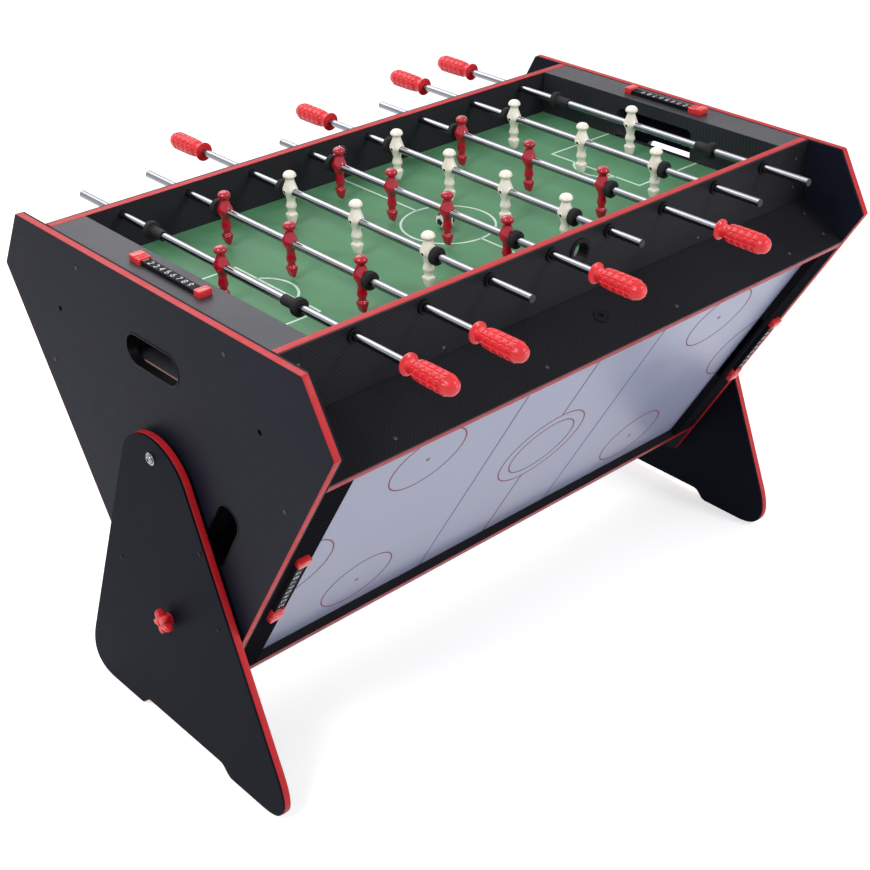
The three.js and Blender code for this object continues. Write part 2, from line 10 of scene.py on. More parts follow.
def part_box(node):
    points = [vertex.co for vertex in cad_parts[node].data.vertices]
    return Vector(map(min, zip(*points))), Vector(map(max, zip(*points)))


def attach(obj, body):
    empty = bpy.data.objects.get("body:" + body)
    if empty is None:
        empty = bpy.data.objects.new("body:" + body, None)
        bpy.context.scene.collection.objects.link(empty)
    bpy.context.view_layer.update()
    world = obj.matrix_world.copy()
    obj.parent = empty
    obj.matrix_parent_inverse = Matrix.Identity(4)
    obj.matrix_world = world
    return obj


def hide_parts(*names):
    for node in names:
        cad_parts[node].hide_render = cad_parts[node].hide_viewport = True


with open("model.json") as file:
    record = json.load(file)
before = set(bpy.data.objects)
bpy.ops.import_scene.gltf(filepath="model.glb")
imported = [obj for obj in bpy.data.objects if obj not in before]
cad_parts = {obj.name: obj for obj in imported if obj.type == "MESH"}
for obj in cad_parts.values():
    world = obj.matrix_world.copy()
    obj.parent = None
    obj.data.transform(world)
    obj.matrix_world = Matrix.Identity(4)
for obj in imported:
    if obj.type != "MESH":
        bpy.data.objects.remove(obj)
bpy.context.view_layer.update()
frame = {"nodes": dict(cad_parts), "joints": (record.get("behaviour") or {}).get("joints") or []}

# A turn-over games table. Lengths are metres and the frame is the construction's: X along the table, the
# near side is -Y, Z is up. Each playing face has its own turned frame about the pivot axis.
NODES = frame["nodes"]
JOINTS = {joint["name"]: joint for joint in frame["joints"]}
PIVOT_Z = JOINTS["cabinet_turn"]["pos_m"][2]
FACE_TURN = 2 * math.pi / 3
FOOTBALL, HOCKEY, POOL = range(3)
FACE_NAMES = ("football", "hockey", "pool")
ENDS = {"left": -1, "right": 1}
ROD_COUNT = 8
CABINET = "cabinet"
STAND = "stand"
TINY = 1e-5
# The radius at which a turned form closes on its axis
NIB = 0.0001

# The photograph's camera: where it stands, and its picture's right, down and forward directions
CAMERA_PLACE = (-1.66625, -1.81731, 1.84202)
PICTURE_RIGHT = (0.7401283, -0.6723789, -0.0108022)
PICTURE_DOWN = (-0.3534112, -0.3752544, -0.8569041)
PICTURE_FORWARD = (0.5721107, 0.6380366, -0.5153626)
LENS_MM = 63.98
SENSOR_MM = 36.0

ALONG_Y = Matrix.Rotation(-math.pi / 2, 4, "X")
at = Matrix.Translation


def out_of_end(side):
    """Turns Z to look out of the table's left or right end."""
    return Matrix.Rotation(side * math.pi / 2, 4, "Y")


def face_frame(face):
    """The turned frame of a playing face: its own X, Y across the face and Z out of it."""
    return at((0, 0, PIVOT_Z)) @ Matrix.Rotation(FACE_TURN * face, 4, "X")


def face_points(node, face):
    """A CAD node's vertices in a playing face's own frame."""
    back = face_frame(face).inverted()
    return [back @ vertex.co for vertex in NODES[node].data.vertices]


def face_box(node, face):
    """Lowest and highest corner of a CAD node in a playing face's own frame."""
    places = face_points(node, face)
    return Vector(map(min, *places)), Vector(map(max, *places))


# Finishes

def rgb(text, alpha=1.0):
    """A colour written as six hexadecimal digits, in linear light."""
    parts = [int(text[k:k + 2], 16) / 255 for k in (0, 2, 4)]
    linear = [p / 12.92 if p <= 0.04045 else ((p + 0.055) / 1.055) ** 2.4 for p in parts]
    return (*linear, alpha)


def shade(colour, factor):
    """The same colour, lighter or darker."""
    return (*(min(part * factor, 1.0) for part in colour[:3]), 1.0)


# The colour sockets of a mix node
MIX_A, MIX_B, MIX_RESULT = 6, 7, 2


class Shading:
    """A shader tree, with its nodes made by what they do."""

    def __init__(self, tree):
        self.tree = tree

    def node(self, kind, inputs=(), **settings):
        """The outputs of a new node, after values or other nodes' sockets are fed into its inputs."""
        made = self.tree.nodes.new(kind)
        for key, value in settings.items():
            setattr(made, key, value)
        for key, value in dict(inputs).items():
            if isinstance(value, bpy.types.NodeSocket):
                self.tree.links.new(value, made.inputs[key])
            else:
                made.inputs[key].default_value = value
        return made.outputs

    def coords(self, turn=0.0, stretch=(1, 1, 1)):
        """Object coordinates, turned back about X and stretched."""
        source = self.node("ShaderNodeTexCoord")["Object"]
        inputs = {"Vector": source, "Rotation": (turn, 0, 0), "Scale": stretch}
        return self.node("ShaderNodeMapping", inputs, vector_type="TEXTURE")["Vector"]

    def noise(self, scale, detail=3.0, stretch=(1, 1, 1), distortion=0.0):
        inputs = {"Vector": self.coords(stretch=stretch), "Scale": scale, "Detail": detail,
                  "Distortion": distortion}
        return self.node("ShaderNodeTexNoise", inputs)["Fac"]

    def maths(self, operation, first, second=0.0):
        return self.node("ShaderNodeMath", {0: first, 1: second}, operation=operation)[0]

    def spread(self, value, low, high, start=0.3, end=0.7):
        """A pattern's values from start to end, spread over low to high."""
        inputs = {"Value": value, "From Min": start, "From Max": end, "To Min": low, "To Max": high}
        return self.node("ShaderNodeMapRange", inputs)["Result"]

    def mix(self, factor, first, second):
        inputs = {"Factor": factor, MIX_A: first, MIX_B: second}
        return self.node("ShaderNodeMix", inputs, data_type="RGBA")[MIX_RESULT]


class Finish(Shading):
    """One material: a principled shader and the patterns that vary it."""

    def __init__(self, name, colour, roughness, **sockets):
        self.material = bpy.data.materials.new(name)
        self.material.use_nodes = True
        super().__init__(self.material.node_tree)
        self.shader = self.tree.nodes["Principled BSDF"]
        for socket, value in {"Base Color": colour, "Roughness": roughness, **sockets}.items():
            self.shader.inputs[socket.replace("_", " ")].default_value = value

    def link(self, socket, value):
        self.tree.links.new(value, self.shader.inputs[socket])

    def bump(self, pattern, depth):
        """A relief of a real depth."""
        inputs = {"Height": pattern, "Strength": 1.0, "Distance": depth}
        self.link("Normal", self.node("ShaderNodeBump", inputs)["Normal"])


# Each kind of surface. Its noises are (scale, detail, stretch, distortion). The tone spreads the colour
# between two shades of it. The speck mixes in a share of a brighter shade, between two levels of its noise. The
# rough goes below and above the roughness, and the relief is a bump of a real depth.
MARKS, BRUSHED, FLOW = (60, 5, (1, 1, 0.12)), (260, 4, (1, 0.03, 1)), (35, 3, (1, 1, 1), 0.6)
KINDS = {
    "laminate": {"tone": ((5, 4), 0.88, 1.10), "speck": (MARKS, 0.15, 1.5, 0.62, 0.8),
                 "rough": (MARKS, 0.02, 0.05), "relief": ((1100, 2), 0.0001)},
    "moulded": {"tone": (FLOW, 0.93, 1.06), "rough": (FLOW, 0.03, 0.05), "relief": ((900, 2), 0.00003)},
    "trim": {"tone": ((45, 5), 0.90, 1.05), "rough": ((45, 5), 0.08, 0.10),
             "relief": ((500, 1, (0.02, 1, 1)), 0.00005)},
    "print": {"tone": ((9, 5), 0.84, 1.14), "speck": ((420, 3), 0.35, 1.35), "rough": ((9, 5), 0.07, 0.09),
              "relief": ((420, 3), 0.00006)},
    "ice": {"tone": ((7, 4), 0.95, 1.04), "rough": ((7, 4), 0.02, 0.04), "relief": ((30, 1), 0.00002)},
    "felt": {"tone": ((12, 4), 0.88, 1.1), "speck": ((1500, 4), 0.6, 1.4), "relief": ((1500, 4), 0.0002),
             "Sheen_Weight": 0.35, "Sheen_Roughness": 0.5},
    "chrome": {"tone": ((30, 3), 0.93, 1.0), "rough": (BRUSHED, 0.05, 0.10), "relief": (BRUSHED, 0.00002),
               "Metallic": 1.0},
    "plated": {"tone": ((300, 4), 0.75, 1.15), "rough": ((300, 4), 0.08, 0.15), "relief": ((900, 2), 0.00003),
               "Metallic": 1.0},
    "rubber": {"tone": ((90, 4), 0.8, 1.5), "rough": ((90, 4), 0.09, 0.11), "relief": ((1300, 2), 0.00008)},
    "ink": {"tone": ((160, 4), 0.86, 1.05), "relief": ((600, 2), 0.00003)},
}
COAT_ROUGHNESS = 0.06


def patterned(name, colour, roughness, tone, relief, speck=None, rough=None, **sockets):
    """A material from one row of the table above."""
    finish = Finish(name, colour, roughness, **sockets)
    pattern, dark, light = tone
    base = finish.mix(finish.spread(finish.noise(*pattern), 0, 1), shade(colour, dark), shade(colour, light))
    if speck:
        pattern, share, bright, *levels = speck
        base = finish.mix(finish.spread(finish.noise(*pattern), 0, share, *levels), base, shade(colour, bright))
    finish.link("Base Color", base)
    if rough:
        pattern, below, above = rough
        finish.link("Roughness", finish.spread(finish.noise(*pattern), roughness - below, roughness + above))
    pattern, depth = relief
    finish.bump(finish.noise(*pattern), depth)
    return finish.material


def surface(kind, name, colour, roughness, shine=0.5, coat=0.0, **changes):
    """A material of one kind, its colour written as six hexadecimal digits."""
    sockets = {"Specular_IOR_Level": shine}
    if coat:
        sockets.update(Coat_Weight=coat, Coat_Roughness=COAT_ROUGHNESS)
    return patterned(name, rgb(colour), roughness, **{**KINDS[kind], **sockets, **changes})


TOW = 0.0019
SEAM_DEPTH = 0.4
WEAVE_DEPTH = 0.00018


def weave_vinyl(name, tones, roughness, turn, upright, shine, relief):
    """Woven carbon look on vinyl: two tows over, two under, each tow slightly crowned."""
    dark, light = (rgb(text) for text in tones)
    finish = Finish(name, dark, roughness, Specular_IOR_Level=shine)
    places = finish.node("ShaderNodeSeparateXYZ", {0: finish.coords(turn)})
    along, across = (finish.maths("DIVIDE", places[axis], TOW) for axis in ("X", "Z" if upright else "Y"))
    step = finish.maths("ADD", finish.maths("FLOOR", along), finish.maths("FLOOR", across))
    over = finish.maths("LESS_THAN", finish.maths("FLOORED_MODULO", step, 4.0), 2.0)
    picks = []
    for way, shown in ((along, over), (across, finish.maths("SUBTRACT", 1.0, over))):
        wave = finish.maths("SINE", finish.maths("MULTIPLY", way, math.pi))
        picks.append(finish.maths("MULTIPLY", finish.maths("ABSOLUTE", wave), shown))
    crown = finish.maths("ADD", *picks)
    seam = finish.mix(finish.spread(crown, 0, 1, 0.0, 0.5), shade(dark, 1.0 - SEAM_DEPTH * relief),
                      finish.mix(over, dark, light))
    broad = finish.noise(7, 3)
    finish.link("Base Color", finish.mix(finish.spread(broad, 0, 0.18), seam, shade(light, 1.25)))
    finish.link("Roughness", finish.spread(broad, roughness - 0.05, roughness + 0.08))
    finish.bump(crown, WEAVE_DEPTH * relief)
    return finish.material


FINISH = {
    "panel": surface("laminate", "panel_laminate", "171924", 0.46, 0.055),
    "leg": surface("laminate", "leg_laminate", "12151e", 0.46, 0.02),
    "edge": surface("trim", "red_edge_trim", "bc1f27", 0.42, 0.25),
    # The same red trim made darker for the hockey and pool faces: painted shade
    "edge_shaded": surface("trim", "red_edge_trim_painted_shade", "9c2230", 0.42, 0.25),
    "pitch": surface("print", "pitch_print", "50835f", 0.55, 0.3),
    "ice": surface("ice", "ice_laminate", "969bb6", 0.32, 0.45),
    "cloth": surface("felt", "pool_felt", "1f5f9c", 0.92, 0.2),
    "chrome": surface("chrome", "bright_chrome", "929399", 0.16),
    "rubber": surface("rubber", "black_rubber", "1a1a1c", 0.75, 0.35),
    "nylon": surface("moulded", "black_nylon", "09090a", 0.42, 0.08),
    "grip": surface("moulded", "grip_red", "e0262f", 0.34, 0.4, 0.1),
    "red_man": surface("moulded", "man_crimson", "b2102b", 0.20, 0.15, 0.8),
    "white_man": surface("moulded", "man_cream", "fdf3e6", 0.30, 0.5, 0.4),
    "score_red": surface("moulded", "score_red", "e02c30", 0.32, 0.5, 0.3),
    "chalk": surface("ink", "pitch_line_ink", "cfe6d6", 0.5),
    "maroon": surface("ink", "ice_maroon_ink", "741c3a", 0.5),
    "blue": surface("ink", "ice_blue_ink", "41579e", 0.5),
    "digit": surface("ink", "score_digit_ink", "dcdce2", 0.5),
    # A pale pinkish-brown strip along the bottom of each window
    "pale_sill": surface("moulded", "pale_sill_strip", "a87f78", 0.6),
    "score_bar": surface("moulded", "score_bar_black", "17171b", 0.45, 0.05),
    "tip": surface("moulded", "rod_cap_grey", "2c2c30", 0.5, 0.2),
    # Near black laid on screw slots, man screw holes and the trough's back plate: painted shade
    "painted_shade": surface("moulded", "painted_shade_black", "0c0c0d", 0.7),
    "dark_zinc": surface("plated", "dark_plated_screw", "4c4e53", 0.42),
    "black_zinc": surface("plated", "black_screw", "16171a", 0.5),
    "ball_white": surface("moulded", "ball_white", "ececea", 0.35),
    "ball_black": surface("moulded", "ball_black", "1c1d20", 0.35),
    "motor": surface("moulded", "blower_plastic", "131316", 0.5, 0.08, relief=((400, 2), 0.0001)),
    "ring": surface("moulded", "bumper_ring_red", "c92f2c", 0.5),
    "cap": surface("moulded", "bumper_cap_white", "e8e6dd", 0.3, 0.5, 0.3),
}
# Each face's boards and rails: dark tow, light tow and shine. All are the one vinyl, lighter or darker by face
# as painted light and shade: the far football board and the football rails' light tows are painted lighter, and
# the pool boards and the hockey and pool rails are painted darker.
BOARD_LOOKS_PAINTED_LIT = {
    "football_near": ("1d1d21", "24242a", 0.06), "football_far": ("28272c", "2f2e34", 0.10),
    "hockey": ("1c1c20", "222227", 0.04), "pool": ("19191d", "1f1f24", 0.04),
}
RAIL_LOOKS_PAINTED_LIT = {
    "football": ("212127", "45454e", 0.28), "hockey": ("18181c", "202025", 0.0),
    "pool": ("18181c", "202025", 0.0),
}
BOARD_RELIEF, RAIL_RELIEF = 0.35, 1.0


def add_vinyls():
    for kind, looks, upright, relief in (("board", BOARD_LOOKS_PAINTED_LIT, True, BOARD_RELIEF),
                                         ("rail", RAIL_LOOKS_PAINTED_LIT, False, RAIL_RELIEF)):
        for name, (dark, light, shine) in looks.items():
            face = FACE_NAMES.index(name.split("_")[0])
            FINISH[f"{kind}_{name}"] = weave_vinyl(
                f"{kind}_vinyl_{name}", (dark, light), 0.42 if upright else 0.34, FACE_TURN * face, upright,
                shine, relief)


add_vinyls()


# Mesh building

def loft(bm, sections, closed=False, material=0):
    """Skins between sections of equal count; closed joins the last to the first, else both ends are capped."""
    loops = [[bm.verts.new(place) for place in section] for section in sections]
    pairs = list(zip(loops, loops[1:]))
    if closed:
        pairs.append((loops[-1], loops[0]))
    faces = []
    for low, high in pairs:
        for k in range(len(low)):
            j = (k + 1) % len(low)
            faces.append(bm.faces.new((low[k], low[j], high[j], high[k])))
    if not closed:
        faces.append(bm.faces.new(list(reversed(loops[0]))))
        faces.append(bm.faces.new(loops[-1]))
    for made in faces:
        made.material_index = material


# How many sides each kind of round form has
SMALL_STEPS, SCREW_STEPS, BUSH_STEPS, ROD_STEPS, DRUM_STEPS, CUP_STEPS = 20, 24, 28, 32, 40, 48


def circle(steps):
    return [(math.cos(2 * math.pi * k / steps), math.sin(2 * math.pi * k / steps)) for k in range(steps)]


def turned(bm, profile, place, steps, closed=False, material=0):
    """A turned form from (radius, along) points on the placed Z axis."""
    sections = [[place @ Vector((radius * c, radius * s, along)) for c, s in circle(steps)]
                for radius, along in profile]
    loft(bm, sections, closed, material)


def rounded_box(bm, low, high, bevel, place=Matrix(), segments=2):
    """A box between two corners with rounded edges."""
    size = Vector(high) - Vector(low)
    middle = (Vector(high) + Vector(low)) / 2
    made = bmesh.ops.create_cube(bm, size=1, matrix=at(middle) @ Matrix.Diagonal((*size, 1)))
    edges = list({edge for vert in made["verts"] for edge in vert.link_edges})
    bevelled = bmesh.ops.bevel(bm, geom=edges, offset=bevel, segments=segments, profile=0.5, affect="EDGES")
    verts = {vert for face in bevelled["faces"] for vert in face.verts}
    verts |= {vert for vert in made["verts"] if vert.is_valid}
    bmesh.ops.transform(bm, matrix=place, verts=list(verts))


def ribbon(bm, points, width, height, place, closed=False):
    """A flat printed band along points in a face's plane, its corners mitred."""
    path = [Vector(point) for point in points]
    sections = []
    count = len(path)
    for k, here in enumerate(path):
        before = path[k - 1] if closed or k > 0 else None
        after = path[(k + 1) % count] if closed or k < count - 1 else None
        into = (here - before).normalized() if before is not None else (after - here).normalized()
        out = (after - here).normalized() if after is not None else into
        tangent = (into + out).normalized()
        side = Vector((-tangent.y, tangent.x)) * (width / 2 / max(tangent.dot(into), 0.3))
        left, right = here + side, here - side
        sections.append([place @ Vector((*spot, lift)) for spot, lift in
                         ((left, 0), (right, 0), (right, height), (left, height))])
    loft(bm, sections, closed)


def arc_points(centre, radius, start, end, steps):
    return [(centre[0] + radius * math.cos(start + (end - start) * k / steps),
             centre[1] + radius * math.sin(start + (end - start) * k / steps)) for k in range(steps + 1)]


def mesh_from(bm, name, crease=35.0):
    """Turns the working mesh into a mesh whose faces are smooth up to the crease angle."""
    bmesh.ops.recalc_face_normals(bm, faces=bm.faces)
    limit = math.radians(crease)
    for face in bm.faces:
        face.smooth = True
    for edge in bm.edges:
        edge.smooth = len(edge.link_faces) == 2 and edge.calc_face_angle() < limit
    mesh = bpy.data.meshes.new(name)
    bm.to_mesh(mesh)
    bm.free()
    return mesh


def place_piece(name, mesh, body, slot, *looks):
    """Puts a mesh in the scene as a piece of the table that rides on a body."""
    for look in looks:
        mesh.materials.append(FINISH[look])
    made = bpy.data.objects.new(name, mesh)
    bpy.context.scene.collection.objects.link(made)
    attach(made, body)
    return made


@contextmanager
def piece(name, body, slot, *looks, stands_for=None, crease=35.0):
    """A working mesh that becomes a piece of the table when its block ends."""
    bm = bmesh.new()
    yield bm
    made = place_piece(name, mesh_from(bm, name, crease), body, slot, *looks)
    if stands_for:
        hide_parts(stands_for)


def paint(look, *nodes):
    """Gives CAD nodes their finish."""
    for node in nodes:
        NODES[node].data.materials.clear()
        NODES[node].data.materials.append(FINISH[look])


def end_reach(node):
    """How far from the table's middle a node at its end starts and stops."""
    return sorted(abs(limit.x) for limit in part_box(node))


# Stage: camera, lamps, world and floor

def add_camera():
    data = bpy.data.cameras.new("photo_camera")
    data.lens = LENS_MM
    data.sensor_width = SENSOR_MM
    data.clip_start = 0.05
    camera = bpy.data.objects.new("photo_camera", data)
    right, down, forward = (Vector(v) for v in (PICTURE_RIGHT, PICTURE_DOWN, PICTURE_FORWARD))
    turn = Matrix((right, -down, -forward)).transposed().to_4x4()
    camera.matrix_world = at(CAMERA_PLACE) @ turn
    bpy.context.scene.collection.objects.link(camera)
    bpy.context.scene.camera = camera


def add_lamp(name, place, target, size, power):
    data = bpy.data.lights.new(name, "AREA")
    data.shape = "RECTANGLE"
    data.size, data.size_y = size
    data.energy = power
    lamp = bpy.data.objects.new(name, data)
    aim = (Vector(target) - Vector(place)).to_track_quat("-Z", "Y")
    lamp.matrix_world = at(place) @ aim.to_matrix().to_4x4()
    bpy.context.scene.collection.objects.link(lamp)


def seen_ray(shading):
    """One where the camera looks, or a reflection or refraction of it."""
    path = shading.node("ShaderNodeLightPath")
    total = path["Is Camera Ray"]
    for name in ("Is Glossy Ray", "Is Transmission Ray"):
        total = shading.maths("MAXIMUM", total, path[name])
    return total


WORLD_LIGHT = 0.50
FLOOR_LIFT = 0.60
FLOOR_REACH = 14.0


def add_world():
    world = bpy.data.worlds.new("studio_world")
    world.use_nodes = True
    bpy.context.scene.world = world
    shading = Shading(world.node_tree)
    background = world.node_tree.nodes["Background"]
    background.inputs["Color"].default_value = (1, 1, 1, 1)
    strength = shading.spread(seen_ray(shading), WORLD_LIGHT, 1.0, 0.0, 1.0)
    world.node_tree.links.new(strength, background.inputs["Strength"])


def add_floor():
    """A white floor that keeps the table's shadow."""
    bm = bmesh.new()
    reach = FLOOR_REACH
    bm.faces.new([bm.verts.new((x, y, 0)) for x, y in ((-reach, -reach), (reach, -reach), (reach, reach),
                                                       (-reach, reach))])
    mesh = mesh_from(bm, "studio_floor")
    finish = Finish("studio_white", (0.8, 0.8, 0.8, 1), 0.9, Specular_IOR_Level=0.0,
                    Emission_Color=(1, 1, 1, 1))
    finish.link("Emission Strength", finish.maths("MULTIPLY", seen_ray(finish), FLOOR_LIFT))
    mesh.materials.append(finish.material)
    floor = bpy.data.objects.new("studio_floor", mesh)
    bpy.context.scene.collection.objects.link(floor)


TABLE_MIDDLE = (0, 0, 0.6)


def add_stage():
    bpy.context.scene.view_settings.view_transform = "Standard"
    add_camera()
    add_world()
    add_floor()
    add_lamp("key_left", (-2.6, -0.6, 3.0), TABLE_MIDDLE, (0.9, 0.9), 46)
    add_lamp("key_right", (1.4, -3.0, 2.6), TABLE_MIDDLE, (0.9, 0.9), 40)
    add_lamp("low_right", (1.7, -2.6, 0.4), (0.4, -0.3, 0.4), (1.2, 0.7), 12)
    add_lamp("top_back", (0.2, 1.9, 2.9), TABLE_MIDDLE, (2.4, 2.0), 44)


# Outlines read from the flat side of a panel or a leg

def flat_loops(node, side):
    """The closed outlines of a node's flat face that looks along X to one side, the longest first."""
    bm = bmesh.new()
    bm.from_mesh(NODES[node].data)
    bmesh.ops.remove_doubles(bm, verts=bm.verts, dist=TINY)
    bm.normal_update()
    reach = max(vert.co.x * side for vert in bm.verts)
    onward = {}
    flat = {face for face in bm.faces if all(abs(vert.co.x * side - reach) < TINY for vert in face.verts)}
    for face in flat:
        for loop in face.loops:
            others = [other for other in loop.edge.link_faces if other is not face]
            if not others or others[0] not in flat:
                onward[loop.vert.index] = (loop.link_loop_next.vert.index, loop.vert.co.copy())
    bm.free()
    loops = []
    while onward:
        start = next(iter(onward))
        here, points = start, []
        while here in onward:
            here, place = onward.pop(here)
            points.append(Vector((place.y, place.z)))
        loops.append(points)
    return sorted(loops, key=loop_length, reverse=True)


def loop_length(points):
    return sum((points[k] - points[k - 1]).length for k in range(len(points)))


def loop_area(points):
    return sum(points[k - 1].cross(points[k]) for k in range(len(points))) / 2


# The bend below which a point counts as on a straight stretch, and how far a mitre may reach out
STRAIGHT = 0.002
MITRE = 0.4


def bends(points):
    """Each point of an outline, with the directions into and out of it."""
    for k, here in enumerate(points):
        onward = points[(k + 1) % len(points)]
        yield here, (here - points[k - 1]).normalized(), (onward - here).normalized()


def tidy_loop(points):
    """The outline anticlockwise in (y, z), without points on its straight stretches."""
    points = points if loop_area(points) > 0 else points[::-1]
    return [here for here, into, out in bends(points) if abs(into.cross(out)) > STRAIGHT]


def band(bm, points, profile):
    """Runs a closed profile of (x, out) points round an outline in (y, z), parallel to it."""
    sections = []
    for here, into, out in bends(points):
        tangent = (into + out).normalized()
        normal = Vector((tangent.y, -tangent.x)) / max(tangent.dot(into), MITRE)
        sections.append([Vector((x, *(here + normal * reach))) for x, reach in profile])
    loft(bm, sections, closed=True)


# Red edge trims, and the legs' boards

TRIM_STAND = 0.0006
TRIM_SINK = 0.0004
TRIM_ROUND = 0.0022
TRIM_LIP = 0.0003
TRIM_INSET = 0.004


def crowned(low, high):
    """A trim's section between two x values: a shallow crown with rounded shoulders."""
    return [
        (low, -TRIM_SINK), (low - TRIM_LIP, TRIM_STAND * 0.25), (low + TRIM_ROUND * 0.4, TRIM_STAND * 0.8),
        (low + TRIM_ROUND, TRIM_STAND), (high - TRIM_ROUND, TRIM_STAND),
        (high - TRIM_ROUND * 0.4, TRIM_STAND * 0.8), (high + TRIM_LIP, TRIM_STAND * 0.25), (high, -TRIM_SINK),
    ]


# A leg's visible board: how much wider it stands at the floor, and how far its foot corners run in along the
# floor and up the side
FOOT_SPREAD = 0.006
FOOT_RUN = 0.086
FOOT_RISE = 0.096
FOOT_STEPS = 14
LEG_KNEE = 0.25
ARCH_LIMIT = 0.18


def foot_corner(points, way):
    """A foot's rounded corner, from the floor up to the side."""
    own = [point for point in points if point.x * way > 0]
    upper = min((point for point in own if point.y > LEG_KNEE), key=lambda point: point.y)
    lower = max((point for point in own if point.y < LEG_KNEE), key=lambda point: point.y)
    slope = (lower.x - upper.x) / (lower.y - upper.y)

    def side_at(height):
        spread = way * FOOT_SPREAD * (1 - height / upper.y)
        return Vector((upper.x + slope * (height - upper.y) + spread, height))

    floor, tip, rise = side_at(0) - Vector((way * FOOT_RUN, 0)), side_at(0), side_at(FOOT_RISE)
    shares = [k / FOOT_STEPS for k in range(FOOT_STEPS + 1)]
    return [floor * (1 - t) ** 2 + tip * 2 * t * (1 - t) + rise * t ** 2 for t in shares]


def leg_outline(node, side):
    """The leg's outline with its wide foot corners, anticlockwise in (y, z)."""
    points = tidy_loop(flat_loops(node, side)[0])
    arch = sorted((point for point in points if point.y < LEG_KNEE and abs(point.x) < ARCH_LIMIT),
                  key=lambda point: point.x)
    top = sorted((point for point in points if point.y > LEG_KNEE), key=lambda point: -point.x)
    return arch + foot_corner(points, 1) + top + foot_corner(points, -1)[::-1]


def add_outline_trims():
    """The trims round the end panels and the legs, and the legs' own boards."""
    for end, side in ENDS.items():
        for node, body in ((f"{end}_end_panel", CABINET), (f"{end}_leg", STAND)):
            low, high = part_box(node)
            inner = side > 0 or body == STAND
            start, stop = (low.x + TRIM_INSET, high.x) if inner else (low.x, high.x - TRIM_INSET)
            outline = leg_outline(node, side) if body == STAND else tidy_loop(flat_loops(node, side)[0])
            with piece(f"{node}_edge_trim", body, "red_plastic", "edge") as bm:
                band(bm, outline, crowned(start, stop))
            if body == STAND:
                with piece(f"{node}_board", STAND, "panel_black", "leg", stands_for=node) as bm:
                    loft(bm, [[Vector((x, *place)) for place in outline] for x in (low.x, high.x)])


BOARDS = {
    "football_near_board": FOOTBALL, "football_far_board": FOOTBALL, "hockey_upper_board": HOCKEY,
    "hockey_lower_board": HOCKEY, "pool_upper_board": POOL, "pool_lower_board": POOL,
}


def board_top(node):
    """The limits across the face of a side board's top edge, and that edge's height, in the face's frame."""
    places = face_points(node, BOARDS[node])
    top = max(place.z for place in places)
    edge = [place.y for place in places if place.z > top - TINY]
    return min(edge), max(edge), top


def board_reach(node):
    """The side a board stands on, how far its inner and outer faces are from the middle, and its top."""
    low, high, top = board_top(node)
    return (1 if low + high > 0 else -1), *sorted((abs(low), abs(high))), top


def add_board_trims():
    """A crowned strip along the top edge of each side board."""
    for node, face in BOARDS.items():
        low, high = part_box(node)
        inner, outer, top = board_top(node)
        section = crowned(inner + TRIM_INSET, outer) if inner < 0 else crowned(inner, outer - TRIM_INSET)
        turn = face_frame(face)
        # The hockey and pool faces' trims take the darker copy of the red trim: painted shade
        look = "edge" if face == FOOTBALL else "edge_shaded"
        with piece(f"{node}_edge_trim", CABINET, "red_plastic", look) as bm:
            loft(bm, [[turn @ Vector((x, y, top + out)) for y, out in section] for x in (low.x, high.x)])


# Oval windows: a black liner with a rolled lip on the outside, and behind them a near-black plate of painted
# shade

LINER_LIP = 0.0020
LINER_STAND = 0.0009
LINER_WALL = 0.0010
SILL_HALF = 0.048
SILL_DROP = 0.148
SILL_SIZE = 0.0016
# The near-black plate of painted shade at each trough's back: where it stands, its half width and its height
TROUGH_SHADE_PLATE = (0.5422, 0.5430)
TROUGH_SHADE_HALF = 0.099
TROUGH_SHADE_RISE = 0.064


def add_window_liners():
    """The liners, and on each end the trough's sill and a near-black plate at its back, painted shade seen
    through the windows.
    """
    floor = PIVOT_Z + board_top("football_near_board")[2] - SILL_DROP
    for end, side in ENDS.items():
        node = f"{end}_end_panel"
        inside, outside = (side * reach for reach in end_reach(node))
        out = side * LINER_STAND
        profile = [
            (inside, 0.0001), (inside, -LINER_WALL), (outside + out * 0.6, -LINER_WALL),
            (outside + out, -LINER_WALL * 0.3), (outside + out, LINER_LIP * 0.6),
            (outside + out * 0.6, LINER_LIP), (outside, LINER_LIP), (outside, 0.0001),
        ]
        for number, points in enumerate(flat_loops(node, side)[1:3], 1):
            with piece(f"{end}_window_liner_{number}", CABINET, "blower_black", "nylon") as bm:
                band(bm, tidy_loop(points), profile)
        for name, slot, look, walls, half, (foot, rise), soft in (
            ("sill", "rail_carbon", "pale_sill", (inside, inside - side * SILL_SIZE), SILL_HALF,
             (0.0001, SILL_SIZE * 1.6), 0.0003),
            # A near-black plate at the trough's back: painted shade
            ("back", "blower_black", "painted_shade", [side * x for x in TROUGH_SHADE_PLATE], TROUGH_SHADE_HALF,
             (0.0002, TROUGH_SHADE_RISE), 0.0001),
        ):
            near, far = sorted(walls)
            with piece(f"{end}_trough_{name}", CABINET, slot, look) as bm:
                rounded_box(bm, (near, -half, floor + foot), (far, half, floor + rise), soft)


# Printed lines on the playing faces

PITCH_LINE = 0.0042
ICE_LINE = 0.0026
PRINT_DEPTH = 0.00025
PRINT_LIFT = 0.00005
GOAL_BOX = (0.370, 0.110)
GOAL_ARC = (0.401, 0.060)
CENTRE_CIRCLE = 0.082
SPOT = 0.004
BLUE_LINE_X = 0.161
ICE_RINGS = (0.094, 0.071)
FACE_OFF = (0.347, 0.188, 0.073)
CREASE = (0.555, 0.086)
CIRCLE_STEPS = 72


def bed_top(node, face):
    low, high = face_box(node, face)
    turn = face_frame(face) @ at((0, 0, high.z + PRINT_LIFT))
    return turn, high.x, high.y


